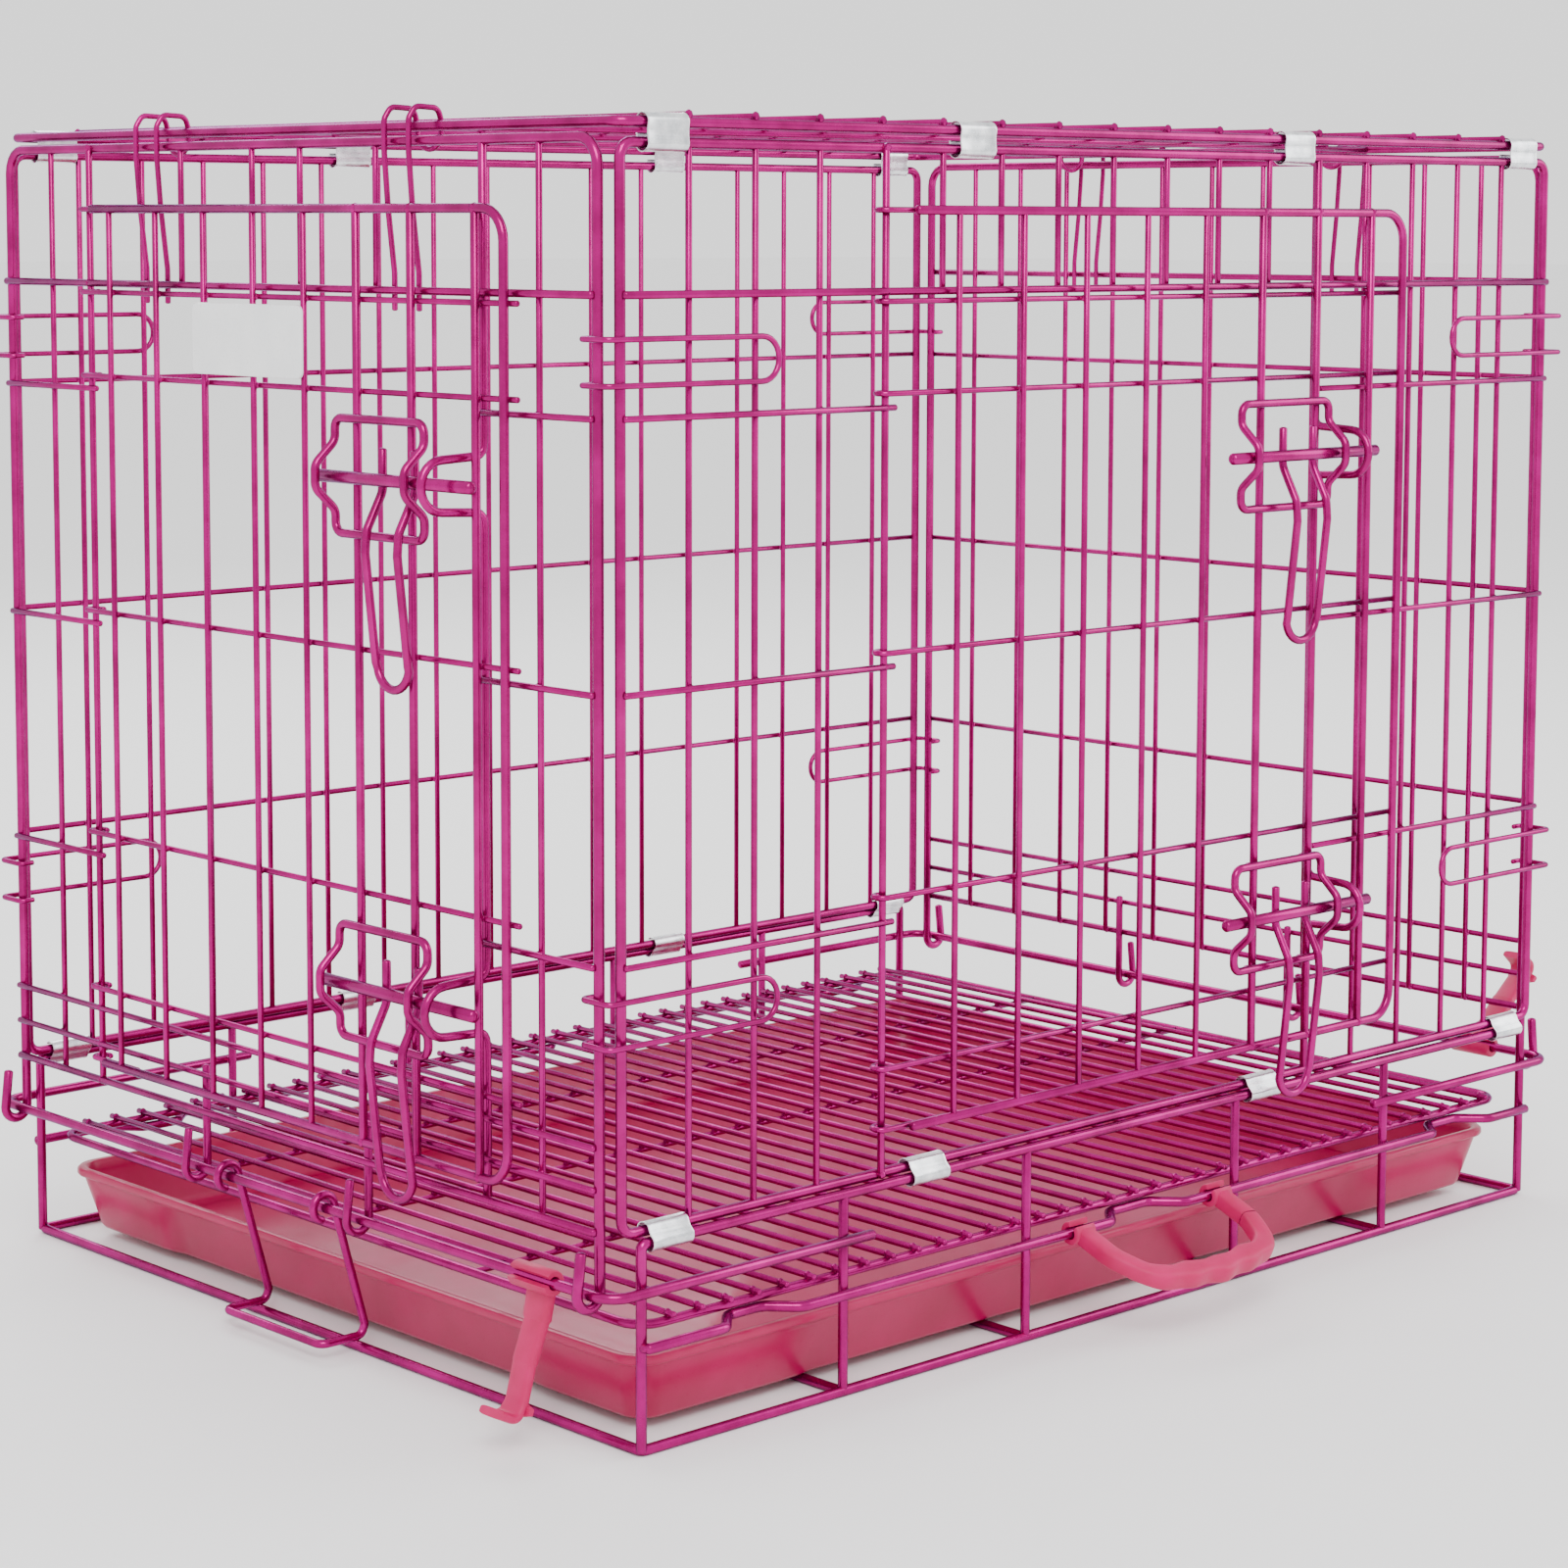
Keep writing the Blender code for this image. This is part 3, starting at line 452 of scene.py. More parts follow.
MATERIALS = {"pink_wire": candy_wire(), "zinc_clip": zinc_clip(), "tray_plastic": tray_plastic(),
             "pink_plastic": pink_plastic(), "white_plate": white_plate()}


# Wire panels


def uprights(half, pitch, count, z0, z1, skip=()):
    """Evenly spaced fill wires between a panel's two outer wires."""
    return [(-half + k * pitch, z0, z1, 0.0, FILL_R) for k in range(1, count) if k not in skip]


def long_loop(shell, side):
    corners = ((-1, PANEL_BOTTOM), (1, PANEL_BOTTOM), (1, LONG_TOP), (-1, LONG_TOP))
    path = [side.at(s * LONG_HALF, 0, z) for s, z in corners]
    shell.wire(bent(path, 6 * MM, True), FRAME_R, True)


def jamb(shell, side, u, top, bottom):
    """The strike wire: straight, with a loop bent outward at each latch."""
    path = [side.at(u, 0, top)]
    for z in (LATCH_Z["upper"], LATCH_Z["lower"]):
        loop = [(0, BULGE_HALF + 9 * MM), (0.6 * MM, BULGE_HALF + 1 * MM)]
        loop += arc((BULGE_OUT - BULGE_HALF, 0), BULGE_HALF, 90, -90, 12)
        loop += [(0.6 * MM, -BULGE_HALF - 1 * MM), (0, -BULGE_HALF - 9 * MM)]
        path += [side.at(u, n, z + h) for n, h in loop]
    path.append(side.at(u, 0, bottom))
    shell.wire(bent(path, 5 * MM), POST_R)


def back_panel():
    shell = Shell()
    long_loop(shell, BACK)
    crosses = [(z, -LONG_HALF, LONG_HALF, CROSS_OUT, FILL_R) for z in LEVELS]
    fill = uprights(LONG_HALF, LONG_PITCH, 17, PANEL_BOTTOM, LONG_TOP)
    lattice(shell, BACK, fill, crosses, (PANEL_BOTTOM, LONG_TOP))
    piece("back_panel", shell, "pink_wire")


def front_panel():
    shell = Shell()
    long_loop(shell, FRONT)
    fill = uprights(LONG_HALF, LONG_PITCH, 17, PANEL_BOTTOM, LONG_TOP, range(4, 13))
    fill += [(-LONG_HALF + k * LONG_PITCH, HEADER_Z, LONG_TOP, 0.0, FILL_R) for k in range(5, 12)]
    fill.append((FRONT_HINGE_U, PANEL_BOTTOM, LONG_TOP, HINGE_OUT, HINGE_R))
    crosses = [(HEADER_Z, -LONG_HALF, LONG_HALF, BAR_OUT, BAR_R)]
    for z in LEVELS:
        crosses.append((z, -LONG_HALF, FRONT_HINGE_U + TAIL, CROSS_OUT, FILL_R))
        crosses.append((z, FRONT_JAMB_U, LONG_HALF, CROSS_OUT, FILL_R))
    lattice(shell, FRONT, fill, crosses, (PANEL_BOTTOM, LONG_TOP))
    jamb(shell, FRONT, FRONT_JAMB_U, LONG_TOP, PANEL_BOTTOM)
    piece("front_panel", shell, "pink_wire")


def rail_foot():
    """A wire's hook round the end rail, as n, z pairs from its top to its tip."""
    foot = [(RAIL_OUT + n, RAIL_Z + h) for n, h in arc((0, 0), RAIL_OUT, 180, 360, 12)]
    return foot + [(2 * RAIL_OUT - 2 * MM, RAIL_Z + 17 * MM)]


def end_panel(node, side, door):
    shell = Shell()
    foot = rail_foot()
    arch = bent([side.at(-END_HALF, 0, RAIL_Z), side.at(-END_HALF, 0, END_TOP),
                 side.at(END_HALF, 0, END_TOP), side.at(END_HALF, 0, RAIL_Z)], 11 * MM)
    path = [side.at(-END_HALF, n, z) for n, z in reversed(foot[1:])] + arch
    path += [side.at(END_HALF, n, z) for n, z in foot[1:]]
    shell.wire(path, FRAME_R)
    fill = uprights(END_HALF, END_PITCH, 12, END_BAR_Z, END_TOP, range(2, 11) if door else ())
    if door:
        fill.append((END_HINGE_U, END_BAR_Z, END_TOP, HINGE_OUT, HINGE_R))
        fill += [(u, HEADER_Z, END_TOP, 0.0, FILL_R) for u in END_HEADER_WIRES]
        jamb(shell, side, END_JAMB_U, END_TOP, END_BAR_Z)
    crosses = [(z, -END_HALF, END_HALF, BAR_OUT, BAR_R) for z in (HEADER_Z, END_BAR_Z)]
    crosses += [(z, -END_HALF, END_HALF, CROSS_OUT, FILL_R) for z in (END_LOWER_Z, END_UPPER_Z)]
    for z in LEVELS:
        spans = [(-END_HALF, END_HALF)]
        if door:
            spans = [(-END_HALF, END_HINGE_U + TAIL), (END_JAMB_U, END_HALF)]
        crosses += [(z, u0, u1, CROSS_OUT, FILL_R) for u0, u1 in spans]
    lattice(shell, side, fill, crosses, (END_TOP,))
    for u in (-RAIL_HOOK_U, RAIL_HOOK_U):
        hook = [side.at(u, 0, END_LOWER_Z + 3 * MM)] + [side.at(u, n, z) for n, z in foot]
        shell.wire(hook, POST_R)
    piece(node, shell, "pink_wire")


def roof():
    shell = Shell()
    path = [ROOF.at(u * LONG_HALF, 0, v * LONG_PLANE) for u, v in CORNERS]
    shell.wire(bent(path, 6 * MM, True), FRAME_R, True)
    fill = [(-LONG_HALF + k * LONG_PITCH, -LONG_PLANE, LONG_PLANE, CROSS_OUT, FILL_R)
            for k in range(1, 17)]
    crosses = [(y, -LONG_HALF, LONG_HALF, 0.0, FILL_R) for y in (-ROOF_CROSS_Y, 0.0, ROOF_CROSS_Y)]
    lattice(shell, ROOF, fill, crosses, (-LONG_PLANE, LONG_PLANE))
    piece("top_panel", shell, "pink_wire")


def floor_grid():
    shell = Shell()
    path = [DECK.at(u * GRID_X, 0, v * GRID_Y) for u, v in CORNERS]
    shell.wire(bent(path, 12 * MM, True), 2 * MM, True)
    reach = GRID_Y + 4 * MM
    fill = [(-GRID_X + k * 2 * GRID_X / GRID_WIRES, -reach, reach, 3 * MM, FILL_R)
            for k in range(1, GRID_WIRES)]
    crosses = [(y, -GRID_X, GRID_X, 0.0, CURL_R) for y in (-GRID_CROSS_Y, 0.0, GRID_CROSS_Y)]
    lattice(shell, DECK, fill, crosses, (-GRID_Y, GRID_Y))
    piece("floor_grid", shell, "pink_wire")


# Doors and latches


def door(node, side, hinge_u, free_u, bottom, bars):
    shell = Shell()
    inner = hinge_u + DOOR_INSET
    corners = ((inner, DOOR_TOP), (free_u, DOOR_TOP), (free_u, bottom), (inner, bottom))
    loop = [side.at(u, DOOR_OUT, z) for u, z in corners]
    shell.wire(bent(loop, 13 * MM, steps=8), FRAME_R - 0.2 * MM)
    fill = [(u, bottom, DOOR_TOP, DOOR_OUT, POST_R if number >= THICK_BARS else FILL_R)
            for number, u in enumerate(bars)]
    lattice(shell, side, fill, (), (bottom, DOOR_TOP))
    rows = [(z, free_u + TAIL) for z in DOOR_LEVELS]
    rows += [(z, hinge_u + 35 * MM) for z in (bottom, DOOR_TOP)]
    for z, end_u in rows:
        curl = arc((hinge_u, HINGE_OUT), CURL_RADIUS, 90, 300, 14)
        path = [side.at(end_u, DOOR_CROSS_OUT, z)] + [side.at(u, n, z) for u, n in curl]
        shell.wire(path, CURL_R)
        for u in bars + [free_u]:
            if u < end_u:
                shell.weld(side.at(u, (DOOR_OUT + DOOR_CROSS_OUT) / 2, z), side.out, CURL_R * 1.25)
    piece(node, shell, "pink_wire")


def latch(prefix, side, z, guide, handle_u, bolt):
    """A latch: its guide on the door, the bolt that slides in it, and the handle."""
    knee = 0.6 * GUIDE_HALF
    rise = ((GUIDE_OUT, -GUIDE_HALF), (GUIDE_OUT, -knee), (BOW_OUT, -5 * MM),
            (BOW_OUT, 5 * MM), (GUIDE_OUT, knee), (GUIDE_OUT, GUIDE_HALF))
    path = [side.at(guide[0], n, z + h) for n, h in rise]
    path += [side.at(guide[1], n, z + h) for n, h in reversed(rise)]
    shell = Shell()
    shell.wire(bent(path, 6 * MM, True), POST_R, True)
    for u in (guide[0] + 12 * MM, guide[1] - 12 * MM):
        for h in (-GUIDE_HALF, GUIDE_HALF):
            shell.weld(side.at(u, GUIDE_OUT - POST_R, z + h), side.out, POST_R)
    piece(prefix + "_guide", shell, "pink_wire")

    shell = Shell()
    shell.wire([side.at(u, BOLT_OUT, z) for u in bolt], BOLT_R, sides=20)
    piece(prefix + "_bolt", shell, "pink_wire")

    low = -HANDLE_DROP + HANDLE_HALF
    leg = ((HANDLE_OUT, 12 * MM), (HANDLE_OUT, -5 * MM), (21.8 * MM, -21 * MM),
           (22.5 * MM, -30 * MM), (17.5 * MM, low))
    path = bent([side.at(handle_u - HANDLE_HALF, n, z + h) for n, h in leg], 9 * MM)
    path += [side.at(u, 16.8 * MM, z + h)
             for u, h in arc((handle_u, low), HANDLE_HALF, 180, 360, 14)[1:-1]]
    path += bent([side.at(handle_u + HANDLE_HALF, n, z + h) for n, h in reversed(leg)], 9 * MM)
    shell = Shell()
    shell.wire(path, POST_R)
    for u in (handle_u - HANDLE_HALF, handle_u + HANDLE_HALF):
        shell.weld(side.at(u, HANDLE_OUT + POST_R, z), side.out, POST_R)
    piece(prefix + "_handle", shell, "pink_wire")


# Spring hairpins


def corner_ring(node, side, way, z):
    """A hairpin on a long panel whose ends wrap round the end panel's outer wire."""
    n = FRAME_R + 1.5 * MM + SPRING_R
    reach = END_PLANE + 4.6 * MM
    inner = -(LONG_PLANE - END_HALF) - 5.6 * MM
    leg = ((RING_U, n), (reach, n), (reach, inner), (END_PLANE - 2 * MM, inner))
    path = bent([side.at(way * u, d, z + RING_HALF) for u, d in reversed(leg)], 3 * MM)
    path += [side.at(way * u, n, z + h) for u, h in arc((RING_U, 0), RING_HALF, 90, 270, 12)[1:-1]]
    path += bent([side.at(way * u, d, z - RING_HALF) for u, d in leg], 3 * MM)
    shell = Shell()
    shell.wire(path, SPRING_R)
    piece(node, shell, "pink_wire")


def top_hook(node, side, u):
    """A hairpin on an end panel that hooks over the roof's end wire."""
    over = END_PLANE - LONG_HALF
    inside = BAR_OUT - BAR_R - 1.6 * MM
    outside = FRAME_R + 2.2 * MM
    leg = ((inside, HEADER_Z - 8 * MM), (inside, HEADER_Z + 7 * MM), (2.7 * MM, DOOR_TOP),
           (outside, END_TOP - 5 * MM), (outside, ROOF_Z + 3 * MM), (1 * MM, ROOF_Z + 8 * MM),
           (-over - 5 * MM, ROOF_Z + 7.5 * MM), (-over - 7 * MM, ROOF_Z + 1 * MM))
    path = bent([side.at(u - TOP_HOOK_HALF, n, z) for n, z in leg], 4 * MM)
    for d, h in arc((0, ROOF_Z), TOP_HOOK_HALF, 180, 360, 12)[1:-1]:
        path.append(side.at(u + d, -over - 7 * MM, h - 1 * MM))
    path += bent([side.at(u + TOP_HOOK_HALF, n, z) for n, z in reversed(leg)], 4 * MM)
    shell = Shell()
    shell.wire(path, SPRING_R)
    piece(node, shell, "pink_wire")


# Base


def base_frame():
    shell = Shell()
    foot = [CENTRE + Vector((x * BASE_X, y * BASE_Y, FRAME_R)) for x, y in CORNERS]
    shell.wire(bent(foot, 3 * MM, True), FRAME_R, True)
    bead_y, bead_r, across = BASE_Y + 2 * MM, 2.3 * MM, Vector((0, 1, 0))
    for way in (-1, 1):
        y = way * BASE_Y
        arch = ((-BASE_X, FRAME_R), (-BASE_X, BASE_TOP), (BASE_X, BASE_TOP), (BASE_X, FRAME_R))
        path = [CENTRE + Vector((x, y, z)) for x, z in arch]
        shell.wire(bent(path, 2.4 * MM), FRAME_R)
        rod = [(-BASE_X, JOGGLE_Y)]
        for x0, x1 in JOGGLES:
            rod += [(x0, JOGGLE_Y), (x0 + JOGGLE_RUN, GRID_Y)]
            rod += [(x1 - JOGGLE_RUN, GRID_Y), (x1, JOGGLE_Y)]
        rod.append((BASE_X, JOGGLE_Y))
        path = [CENTRE + Vector((x, way * d, JOGGLE_Z)) for x, d in rod]
        shell.wire(bent(path, 7 * MM), FRAME_R)
        out, leg = way * (END_PLANE + RAIL_OUT), way * RAIL_LEG_X
        ends = ((leg, -1), (out, -1), (out, 1), (leg, 1))
        path = [CENTRE + Vector((x, s * JOGGLE_Y, RAIL_Z)) for x, s in ends]
        shell.wire(bent(path, 11 * MM), FRAME_R)
        for x in (-BASE_X, BASE_X) + POSTS:
            shell.weld(CENTRE + Vector((x, way * bead_y, JOGGLE_Z)), across, bead_r)
        for x in (way * BASE_X, way * POSTS[3]):
            for s in (-1, 1):
                shell.weld(CENTRE + Vector((x, s * bead_y, RAIL_Z)), across, bead_r)
    for x in POSTS:
        post = ((-BASE_Y, BASE_TOP), (-BASE_Y, 2.2 * MM), (BASE_Y, 2.2 * MM), (BASE_Y, BASE_TOP))
        path = [CENTRE + Vector((x, y, z)) for y, z in post]
        shell.wire(bent(path, 2.6 * MM), 2.1 * MM)
    piece("base_frame", shell, "pink_wire")


def tray_stop():
    """The wire gate on the left rail that keeps the tray in."""
    ring = FRAME_R + 1.35 * MM + POST_R
    curl = [(RAIL_OUT + n, RAIL_Z + h) for n, h in arc((0, 0), ring, -80, 180, 18)]
    leg = [LEFT.at(-STOP_HALF, n, z) for n, z in curl]
    reach = ((-15.5 * MM, 12 * MM), (-13.5 * MM, STOP_Z), (8 * MM, STOP_Z))
    path = leg + [LEFT.at(-STOP_HALF, n, z) for n, z in reach]
    path += [LEFT.at(STOP_HALF, n, z) for n, z in reversed(reach)]
    path += [LEFT.at(STOP_HALF, n, z) for n, z in reversed(curl)]
    shell = Shell()
    first, last = len(curl), len(path) - len(curl)
    shell.wire(path[:first - 1] + bent(path[first - 1:last + 1], 4 * MM) + path[last + 1:], POST_R)
    piece("tray_stop", shell, "pink_wire")


def tray_outline(inset, z, recess):
    """A rounded rectangle whose straight walls are set in between their corners."""
    x, y = TRAY_X - inset, TRAY_Y - inset
    r = max(14 * MM - inset * 0.3, 6 * MM)
    points = []
    for along, across, turn in ((y, x, 0), (x, y, 90), (y, x, 180), (x, y, 270)):
        spin = Matrix.Rotation(math.radians(turn), 3, "Z")
        straight = along - r
        for s in range(-24, 25):
            run = straight * s / 24
            edge = min(1.0, max(0.0, (0.72 * straight - abs(run)) / (10 * MM)))
            points.append(CENTRE + spin @ Vector((across - recess * edge, run, z)))
        corner = arc((across - r, straight), r, 0, 90, 8)[1:-1]
        points += [CENTRE + spin @ Vector((px, py, z)) for px, py in corner]
    return points


def tray():
    """A pressed tray: sloping walls set in between their ends, a rolled rim and a low floor."""
    floor_z = TRAY_BOTTOM + 2 * MM
    # Inset in mm, height, and share of the walls' recess, from outside under the rim to the floor
    wall = ((14.0, TRAY_BOTTOM, 0.0), (9.9, TRAY_BOTTOM + 0.5 * MM, 1.0),
            (8.9, TRAY_BOTTOM + 2 * MM, 1.0), (3.2, TRAY_RIM - 7 * MM, 1.0),
            (2.6, TRAY_RIM - 4.4 * MM, 0.0), (0.6, TRAY_RIM - 4 * MM, 0.0),
            (0.0, TRAY_RIM - 3 * MM, 0.0), (0.1, TRAY_RIM - 1 * MM, 0.0),
            (1.0, TRAY_RIM, 0.0), (3.4, TRAY_RIM, 0.0),
            (4.3, TRAY_RIM - 0.8 * MM, 0.0), (4.7, TRAY_RIM - 5 * MM, 0.0),
            (5.2, TRAY_RIM - 7 * MM, 1.0), (10.6, floor_z + 3 * MM, 1.0),
            (11.8, floor_z + 0.8 * MM, 1.0), (13.8, floor_z, 0.0),
            (22.0, floor_z, 0.0), (23.2, floor_z + 0.6 * MM, 0.0))
    shell = Shell()
    shell.loft([tray_outline(inset * MM, z, TRAY_RECESS * share) for inset, z, share in wall])
    piece("tray", shell, "tray_plastic", 50)


# Clips


def clip(node, x, first, second):
    """A sheet clip crimped round two rods, given as y, z pairs, with a seam on its inner side."""
    a, b = Vector((0, first[0], first[1])), Vector((0, second[0], second[1]))
    line = (b - a).normalized()
    side = Vector((0, -line.z, line.y))
    gap = (b - a).length
    center = (a + b) / 2
    outline = []
    for turn in range(-84, 85, 12):
        angle = math.radians(turn)
        outline.append((gap / 2 + CLIP_R * math.cos(angle), CLIP_R * math.sin(angle)))
    outline.append((gap * 0.16, CLIP_R - 0.45 * MM))
    outline.append((-gap * 0.16, CLIP_R - 0.45 * MM))
    for turn in range(96, 265, 12):
        angle = math.radians(turn)
        outline.append((-gap / 2 + CLIP_R * math.cos(angle), CLIP_R * math.sin(angle)))
    outline.append((-gap * 0.16, -CLIP_R + 0.35 * MM))
    outline.append((-gap * 0.04, -CLIP_R + 0.1 * MM))
    rings = []
    for share in (-1.0, -0.97, -0.9, -0.3, 0.3, 0.9, 0.97, 1.0):
        flare = 0.25 * MM * max(0.0, abs(share) - 0.9) / 0.1
        edge = 0.15 * MM if abs(share) > 0.99 else 0.0
        ring = []
        for grow in (flare + CLIP_SHEET - edge, flare + edge):
            layer = []
            for i, (along, out) in enumerate(outline):
                before, after = outline[max(i - 1, 0)], outline[min(i + 1, len(outline) - 1)]
                step = Vector((after[0] - before[0], after[1] - before[1])).normalized()
                place = center + line * (along + grow * step.y) + side * (out - grow * step.x)
                layer.append(CENTRE + place + Vector((x + share * CLIP_LENGTH / 2, 0, 0)))
            ring += layer if not ring else layer[::-1]
        rings.append(ring)
    shell = Shell()
    shell.sheet(rings, len(outline))
    piece(node, shell, "zinc_clip", 40)


def clips():
    for way, word in ((-1, "front"), (1, "back")):
        panel = way * LONG_PLANE
        for number, x in enumerate(CLIP_X_FRONT_LOW if way < 0 else CLIP_X, 1):
            name = "clip_bottom_%s_%d" % (word, number)
            clip(name, x, (way * BASE_Y, BASE_TOP), (panel, PANEL_BOTTOM))
        for number, x in enumerate(CLIP_X, 1):
            clip("clip_top_%s_%d" % (word, number), x, (panel, LONG_TOP), (panel, ROOF_Z))


# Moulded plastic


def strap(shell, path, sizes, across):
    """A soft-edged strap along path: half widths and half thicknesses, widths along across."""
    rings = []
    for i, point in enumerate(path):
        ahead = (path[min(i + 1, len(path) - 1)] - path[max(i - 1, 0)]).normalized()
        wide = (across - across.dot(ahead) * ahead).normalized()
        thick = ahead.cross(wide)
        ring = []
        for s in range(20):
            angle = 2 * math.pi * s / 20
            c, d = math.cos(angle), math.sin(angle)
            ring.append(point + wide * sizes[i][0] * math.copysign(abs(c) ** 0.5, c)
                        + thick * sizes[i][1] * math.copysign(abs(d) ** 0.5, d))
        rings.append(ring)
    shell.loft(rings)


def split_ring(shell, x0, x1, inner, outer):
    """A snap ring along X, open at the top, with softened ends."""
    turns = [math.radians(90 + 26 + 308 * i / 24) for i in range(25)]
    rings = []
    for x, trim in ((x0, 0.5), (x0 + 0.5 * MM, 0.0), (x1 - 0.5 * MM, 0.0), (x1, 0.5)):
        far, near = outer - trim * MM, inner + trim * 0.4 * MM
        ring = [Vector((x, far * math.cos(a), far * math.sin(a))) for a in turns]
        ring += [Vector((x, near * math.cos(a), near * math.sin(a))) for a in reversed(turns)]
        rings.append(ring)
    shell.sheet(rings, len(turns))


def moulded(node, shell, tilt, turn, origin):
    """Tilt and turn a piece made round a rod along X, and put it on its rod."""
    spin = Matrix.Rotation(math.radians(turn), 3, "Z") @ Matrix.Rotation(math.radians(tilt), 3, "X")
    shell.verts = [origin + spin @ v for v in shell.verts]
    piece(node, shell, "pink_plastic", 50)


def carry_handle():
    """Two snap rings on the front rod with a bowed grip between them, waved for the fingers."""
    shell = Shell()
    for x in (-47 * MM, 47 * MM):
        split_ring(shell, x - 6 * MM, x + 6 * MM, 2.7 * MM, 5.4 * MM)
    corners = [(-47, -3.6), (-47, -22), (-38, -42), (0, -46), (38, -42), (47, -22), (47, -3.6)]
    path = bent([Vector((x * MM, y * MM, 0)) for x, y in corners], 20 * MM, steps=12)
    sizes, dense = [], []
    for i in range(len(path) - 1):
        count = max(1, int((path[i + 1] - path[i]).length / (2 * MM)))
        dense += [path[i].lerp(path[i + 1], k / count) for k in range(count)]
    dense.append(path[-1])
    for point in dense:
        grip = min(1.0, max(0.0, (40 * MM - abs(point.x)) / (8 * MM)))
        wave = 0.7 * math.cos(2 * math.pi * point.x / (19 * MM)) * grip
        sizes.append(((4.6 + 0.7 * grip + wave) * MM, (4.0 + 0.6 * grip) * MM))
    strap(shell, dense, sizes, Vector((0.15, 1, 0)).normalized())
    moulded("carry_handle", shell, 22, 0, CENTRE + Vector((CARRY_X, -JOGGLE_Y, JOGGLE_Z)))


def fold_hook(node, side, u, tilt, turn):
    """A snap ring on an end rail with a strap that ends in a hook and a thumb tab."""
    shell = Shell()
    split_ring(shell, -12 * MM, 12 * MM, 2.7 * MM, 5.4 * MM)
    corners = [(-3.4, -3.2), (-16, -4.6), (-34, -3.6), (-50, -4.4), (-56.5, -2), (-55, 7.5)]
    path = bent([Vector((1.5 * MM, y * MM, z * MM)) for y, z in corners], 9 * MM, steps=8)
    total = len(path) - 1
    sizes = []
    for i in range(len(path)):
        share = i / total
        sizes.append(((7.6 - 1.6 * math.sin(math.pi * share)) * MM, (2.6 - 0.7 * share) * MM))
    strap(shell, path, sizes, Vector((1, 0, 0)))
    tab = [Vector((x * MM, -52 * MM, -6.2 * MM)) for x in (-6.5, -3, 1.5, 6, 9.5)]
    strap(shell, tab, [(1.6 * MM, 1.2 * MM), (2.6 * MM, 1.7 * MM), (2.8 * MM, 1.8 * MM),
                       (2.6 * MM, 1.7 * MM), (1.6 * MM, 1.2 * MM)], Vector((0, 1, 0)))
    moulded(node, shell, tilt, turn, side.at(u, RAIL_OUT, RAIL_Z))


def name_plate():
    """A blank plate with rounded corners on the end door's wires."""
    low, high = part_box("name_plate")
    middle, size = (low + high) / 2, (high - low) / 2
    rings = []
    for share, inset in ((-1.0, 0.4), (-0.6, 0.0), (0.5, 0.0), (0.85, 0.25), (1.0, 0.8)):
        y, z, r = size.y - inset * MM, size.z - inset * MM, 3 * MM
        ring = []
        for sy, sz, start in ((1, 1, 0), (-1, 1, 90), (-1, -1, 180), (1, -1, 270)):
            ring += [middle + Vector((-share * size.x, py, pz))
                     for py, pz in arc((sy * (y - r), sz * (z - r)), r, start, start + 90, 6)]
        rings.append(ring)
    shell = Shell()
    shell.loft(rings)
    piece("name_plate", shell, "white_plate", 30)


# Studio


def plain(name, color, roughness):
    material = bpy.data.materials.new(name)
    material.use_nodes = True
    shader = material.node_tree.nodes["Principled BSDF"]
    shader.inputs["Base Color"].default_value = color
    shader.inputs["Roughness"].default_value = roughness
    return material


def area_light(name, place, target, size, power):
    light = bpy.data.lights.new(name, "AREA")
    light.shape, light.size, light.size_y, light.energy = "RECTANGLE", size[0], size[1], power
    obj = bpy.data.objects.new(name, light)
    bpy.context.scene.collection.objects.link(obj)
    obj.location = place
    obj.rotation_euler = (Vector(target) - Vector(place)).to_track_quat("-Z", "Y").to_euler()


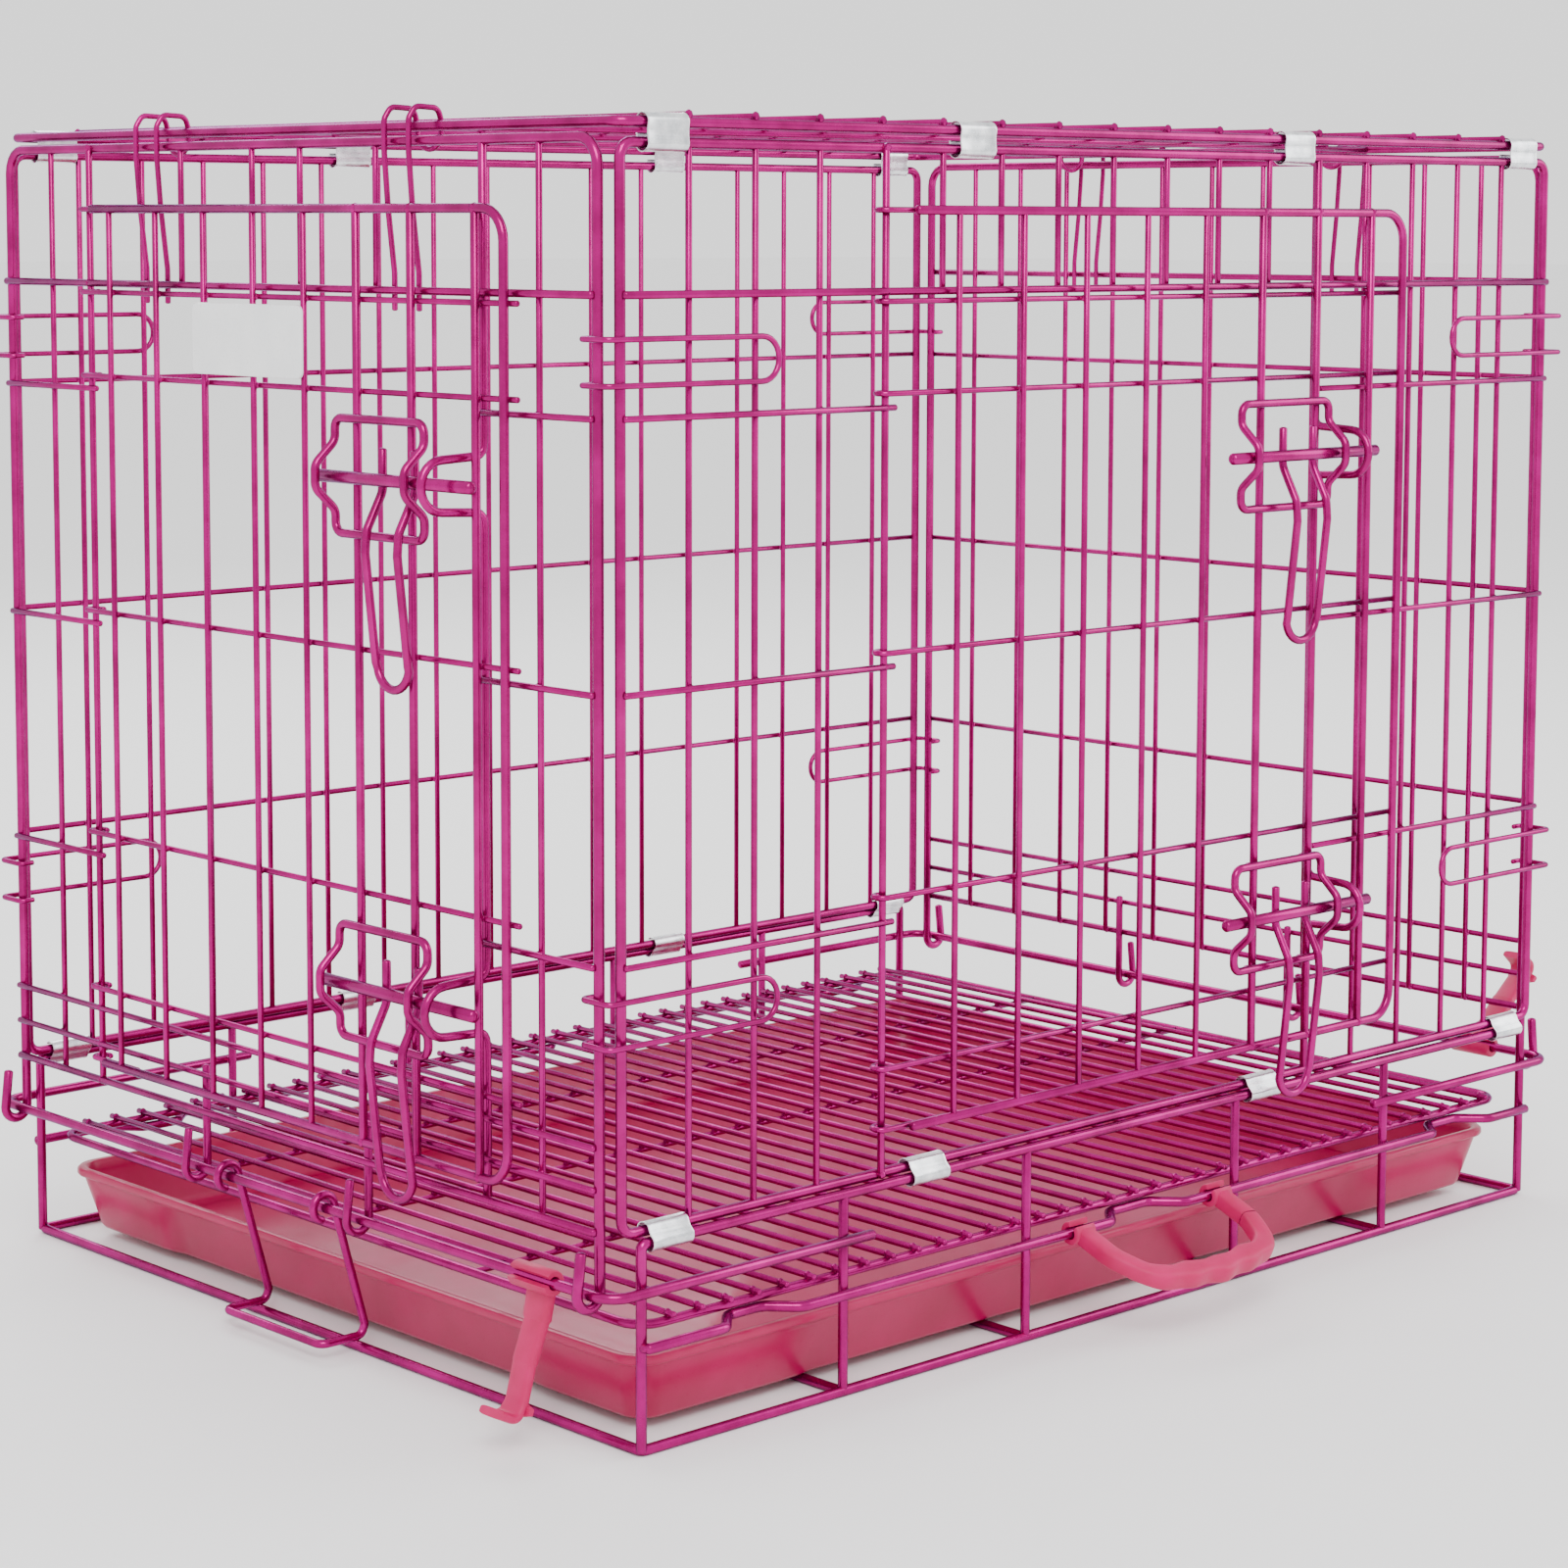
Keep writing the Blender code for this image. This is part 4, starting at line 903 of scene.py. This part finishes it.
def studio():
    """A pale floor, a white surround and soft lights, with the camera of a product picture."""
    half = 40.0
    mesh = bpy.data.meshes.new("studio_floor")
    mesh.from_pydata([(-half, -half, 0), (half, -half, 0), (half, half, 0), (-half, half, 0)],
                     [], [(0, 1, 2, 3)])
    floor = bpy.data.objects.new("studio_floor", mesh)
    bpy.context.scene.collection.objects.link(floor)
    floor.data.materials.append(plain("studio_floor", (0.93, 0.93, 0.93, 1.0), 0.6))
    world = bpy.data.worlds.new("studio")
    bpy.context.scene.world = world
    world.use_nodes = True
    world.node_tree.nodes["Background"].inputs["Color"].default_value = (1.0, 1.0, 1.0, 1.0)
    world.node_tree.nodes["Background"].inputs["Strength"].default_value = 1.5
    area_light("key", (-1.6, -1.9, 2.3), (0, 0, 0.25), (1.6, 1.6), 62)
    area_light("fill", (2.2, -1.4, 1.3), (0, 0, 0.25), (1.4, 1.8), 26)
    area_light("back", (0.8, 2.2, 1.9), (0, 0, 0.3), (2.0, 1.0), 34)
    camera = bpy.data.objects.new("camera", bpy.data.cameras.new("camera"))
    bpy.context.scene.collection.objects.link(camera)
    camera.data.sensor_width, camera.data.lens = 36.0, 84.0
    camera.data.shift_y = -0.125
    camera.location = CENTRE + Vector((-1.227, -1.297, 0.49))
    pitch, roll, yaw = 5.66, 0.16, 43.18
    camera.rotation_euler = [math.radians(a) for a in (90 - pitch, -roll, -yaw)]
    bpy.context.scene.camera = camera


def build():
    base_frame()
    floor_grid()
    tray()
    back_panel()
    front_panel()
    roof()
    end_panel("left_end_panel", LEFT, True)
    end_panel("right_end_panel", RIGHT, False)
    door("front_door", FRONT, FRONT_HINGE_U, FRONT_DOOR_FREE, FRONT_DOOR_BOTTOM, FRONT_BARS)
    door("end_door", LEFT, END_HINGE_U, END_DOOR_FREE, END_DOOR_BOTTOM, END_BARS)
    for word, z in LATCH_Z.items():
        latch("front_%s_latch" % word, FRONT, z, FRONT_GUIDE, FRONT_HANDLE_U, FRONT_BOLT)
        latch("end_%s_latch" % word, LEFT, z, END_GUIDE, END_HANDLE_U, END_BOLT)
    clips()
    for word, z in RING_Z:
        corner_ring("spring_front_left_" + word, FRONT, -1, z)
        corner_ring("spring_front_right_" + word, FRONT, 1, z)
        corner_ring("spring_back_left_" + word, BACK, 1, z)
        corner_ring("spring_back_right_" + word, BACK, -1, z)
    for word, side, front in (("left", LEFT, 1), ("right", RIGHT, -1)):
        top_hook("top_hook_%s_back" % word, side, -front * TOP_HOOK_U)
        top_hook("top_hook_%s_front" % word, side, front * TOP_HOOK_U)
    tray_stop()
    carry_handle()
    fold_hook("left_fold_hook", LEFT, FOLD_HOOK_U, 72, -90)
    fold_hook("right_fold_hook", RIGHT, -FOLD_HOOK_U, -40, 90)
    name_plate()
    studio()


build()
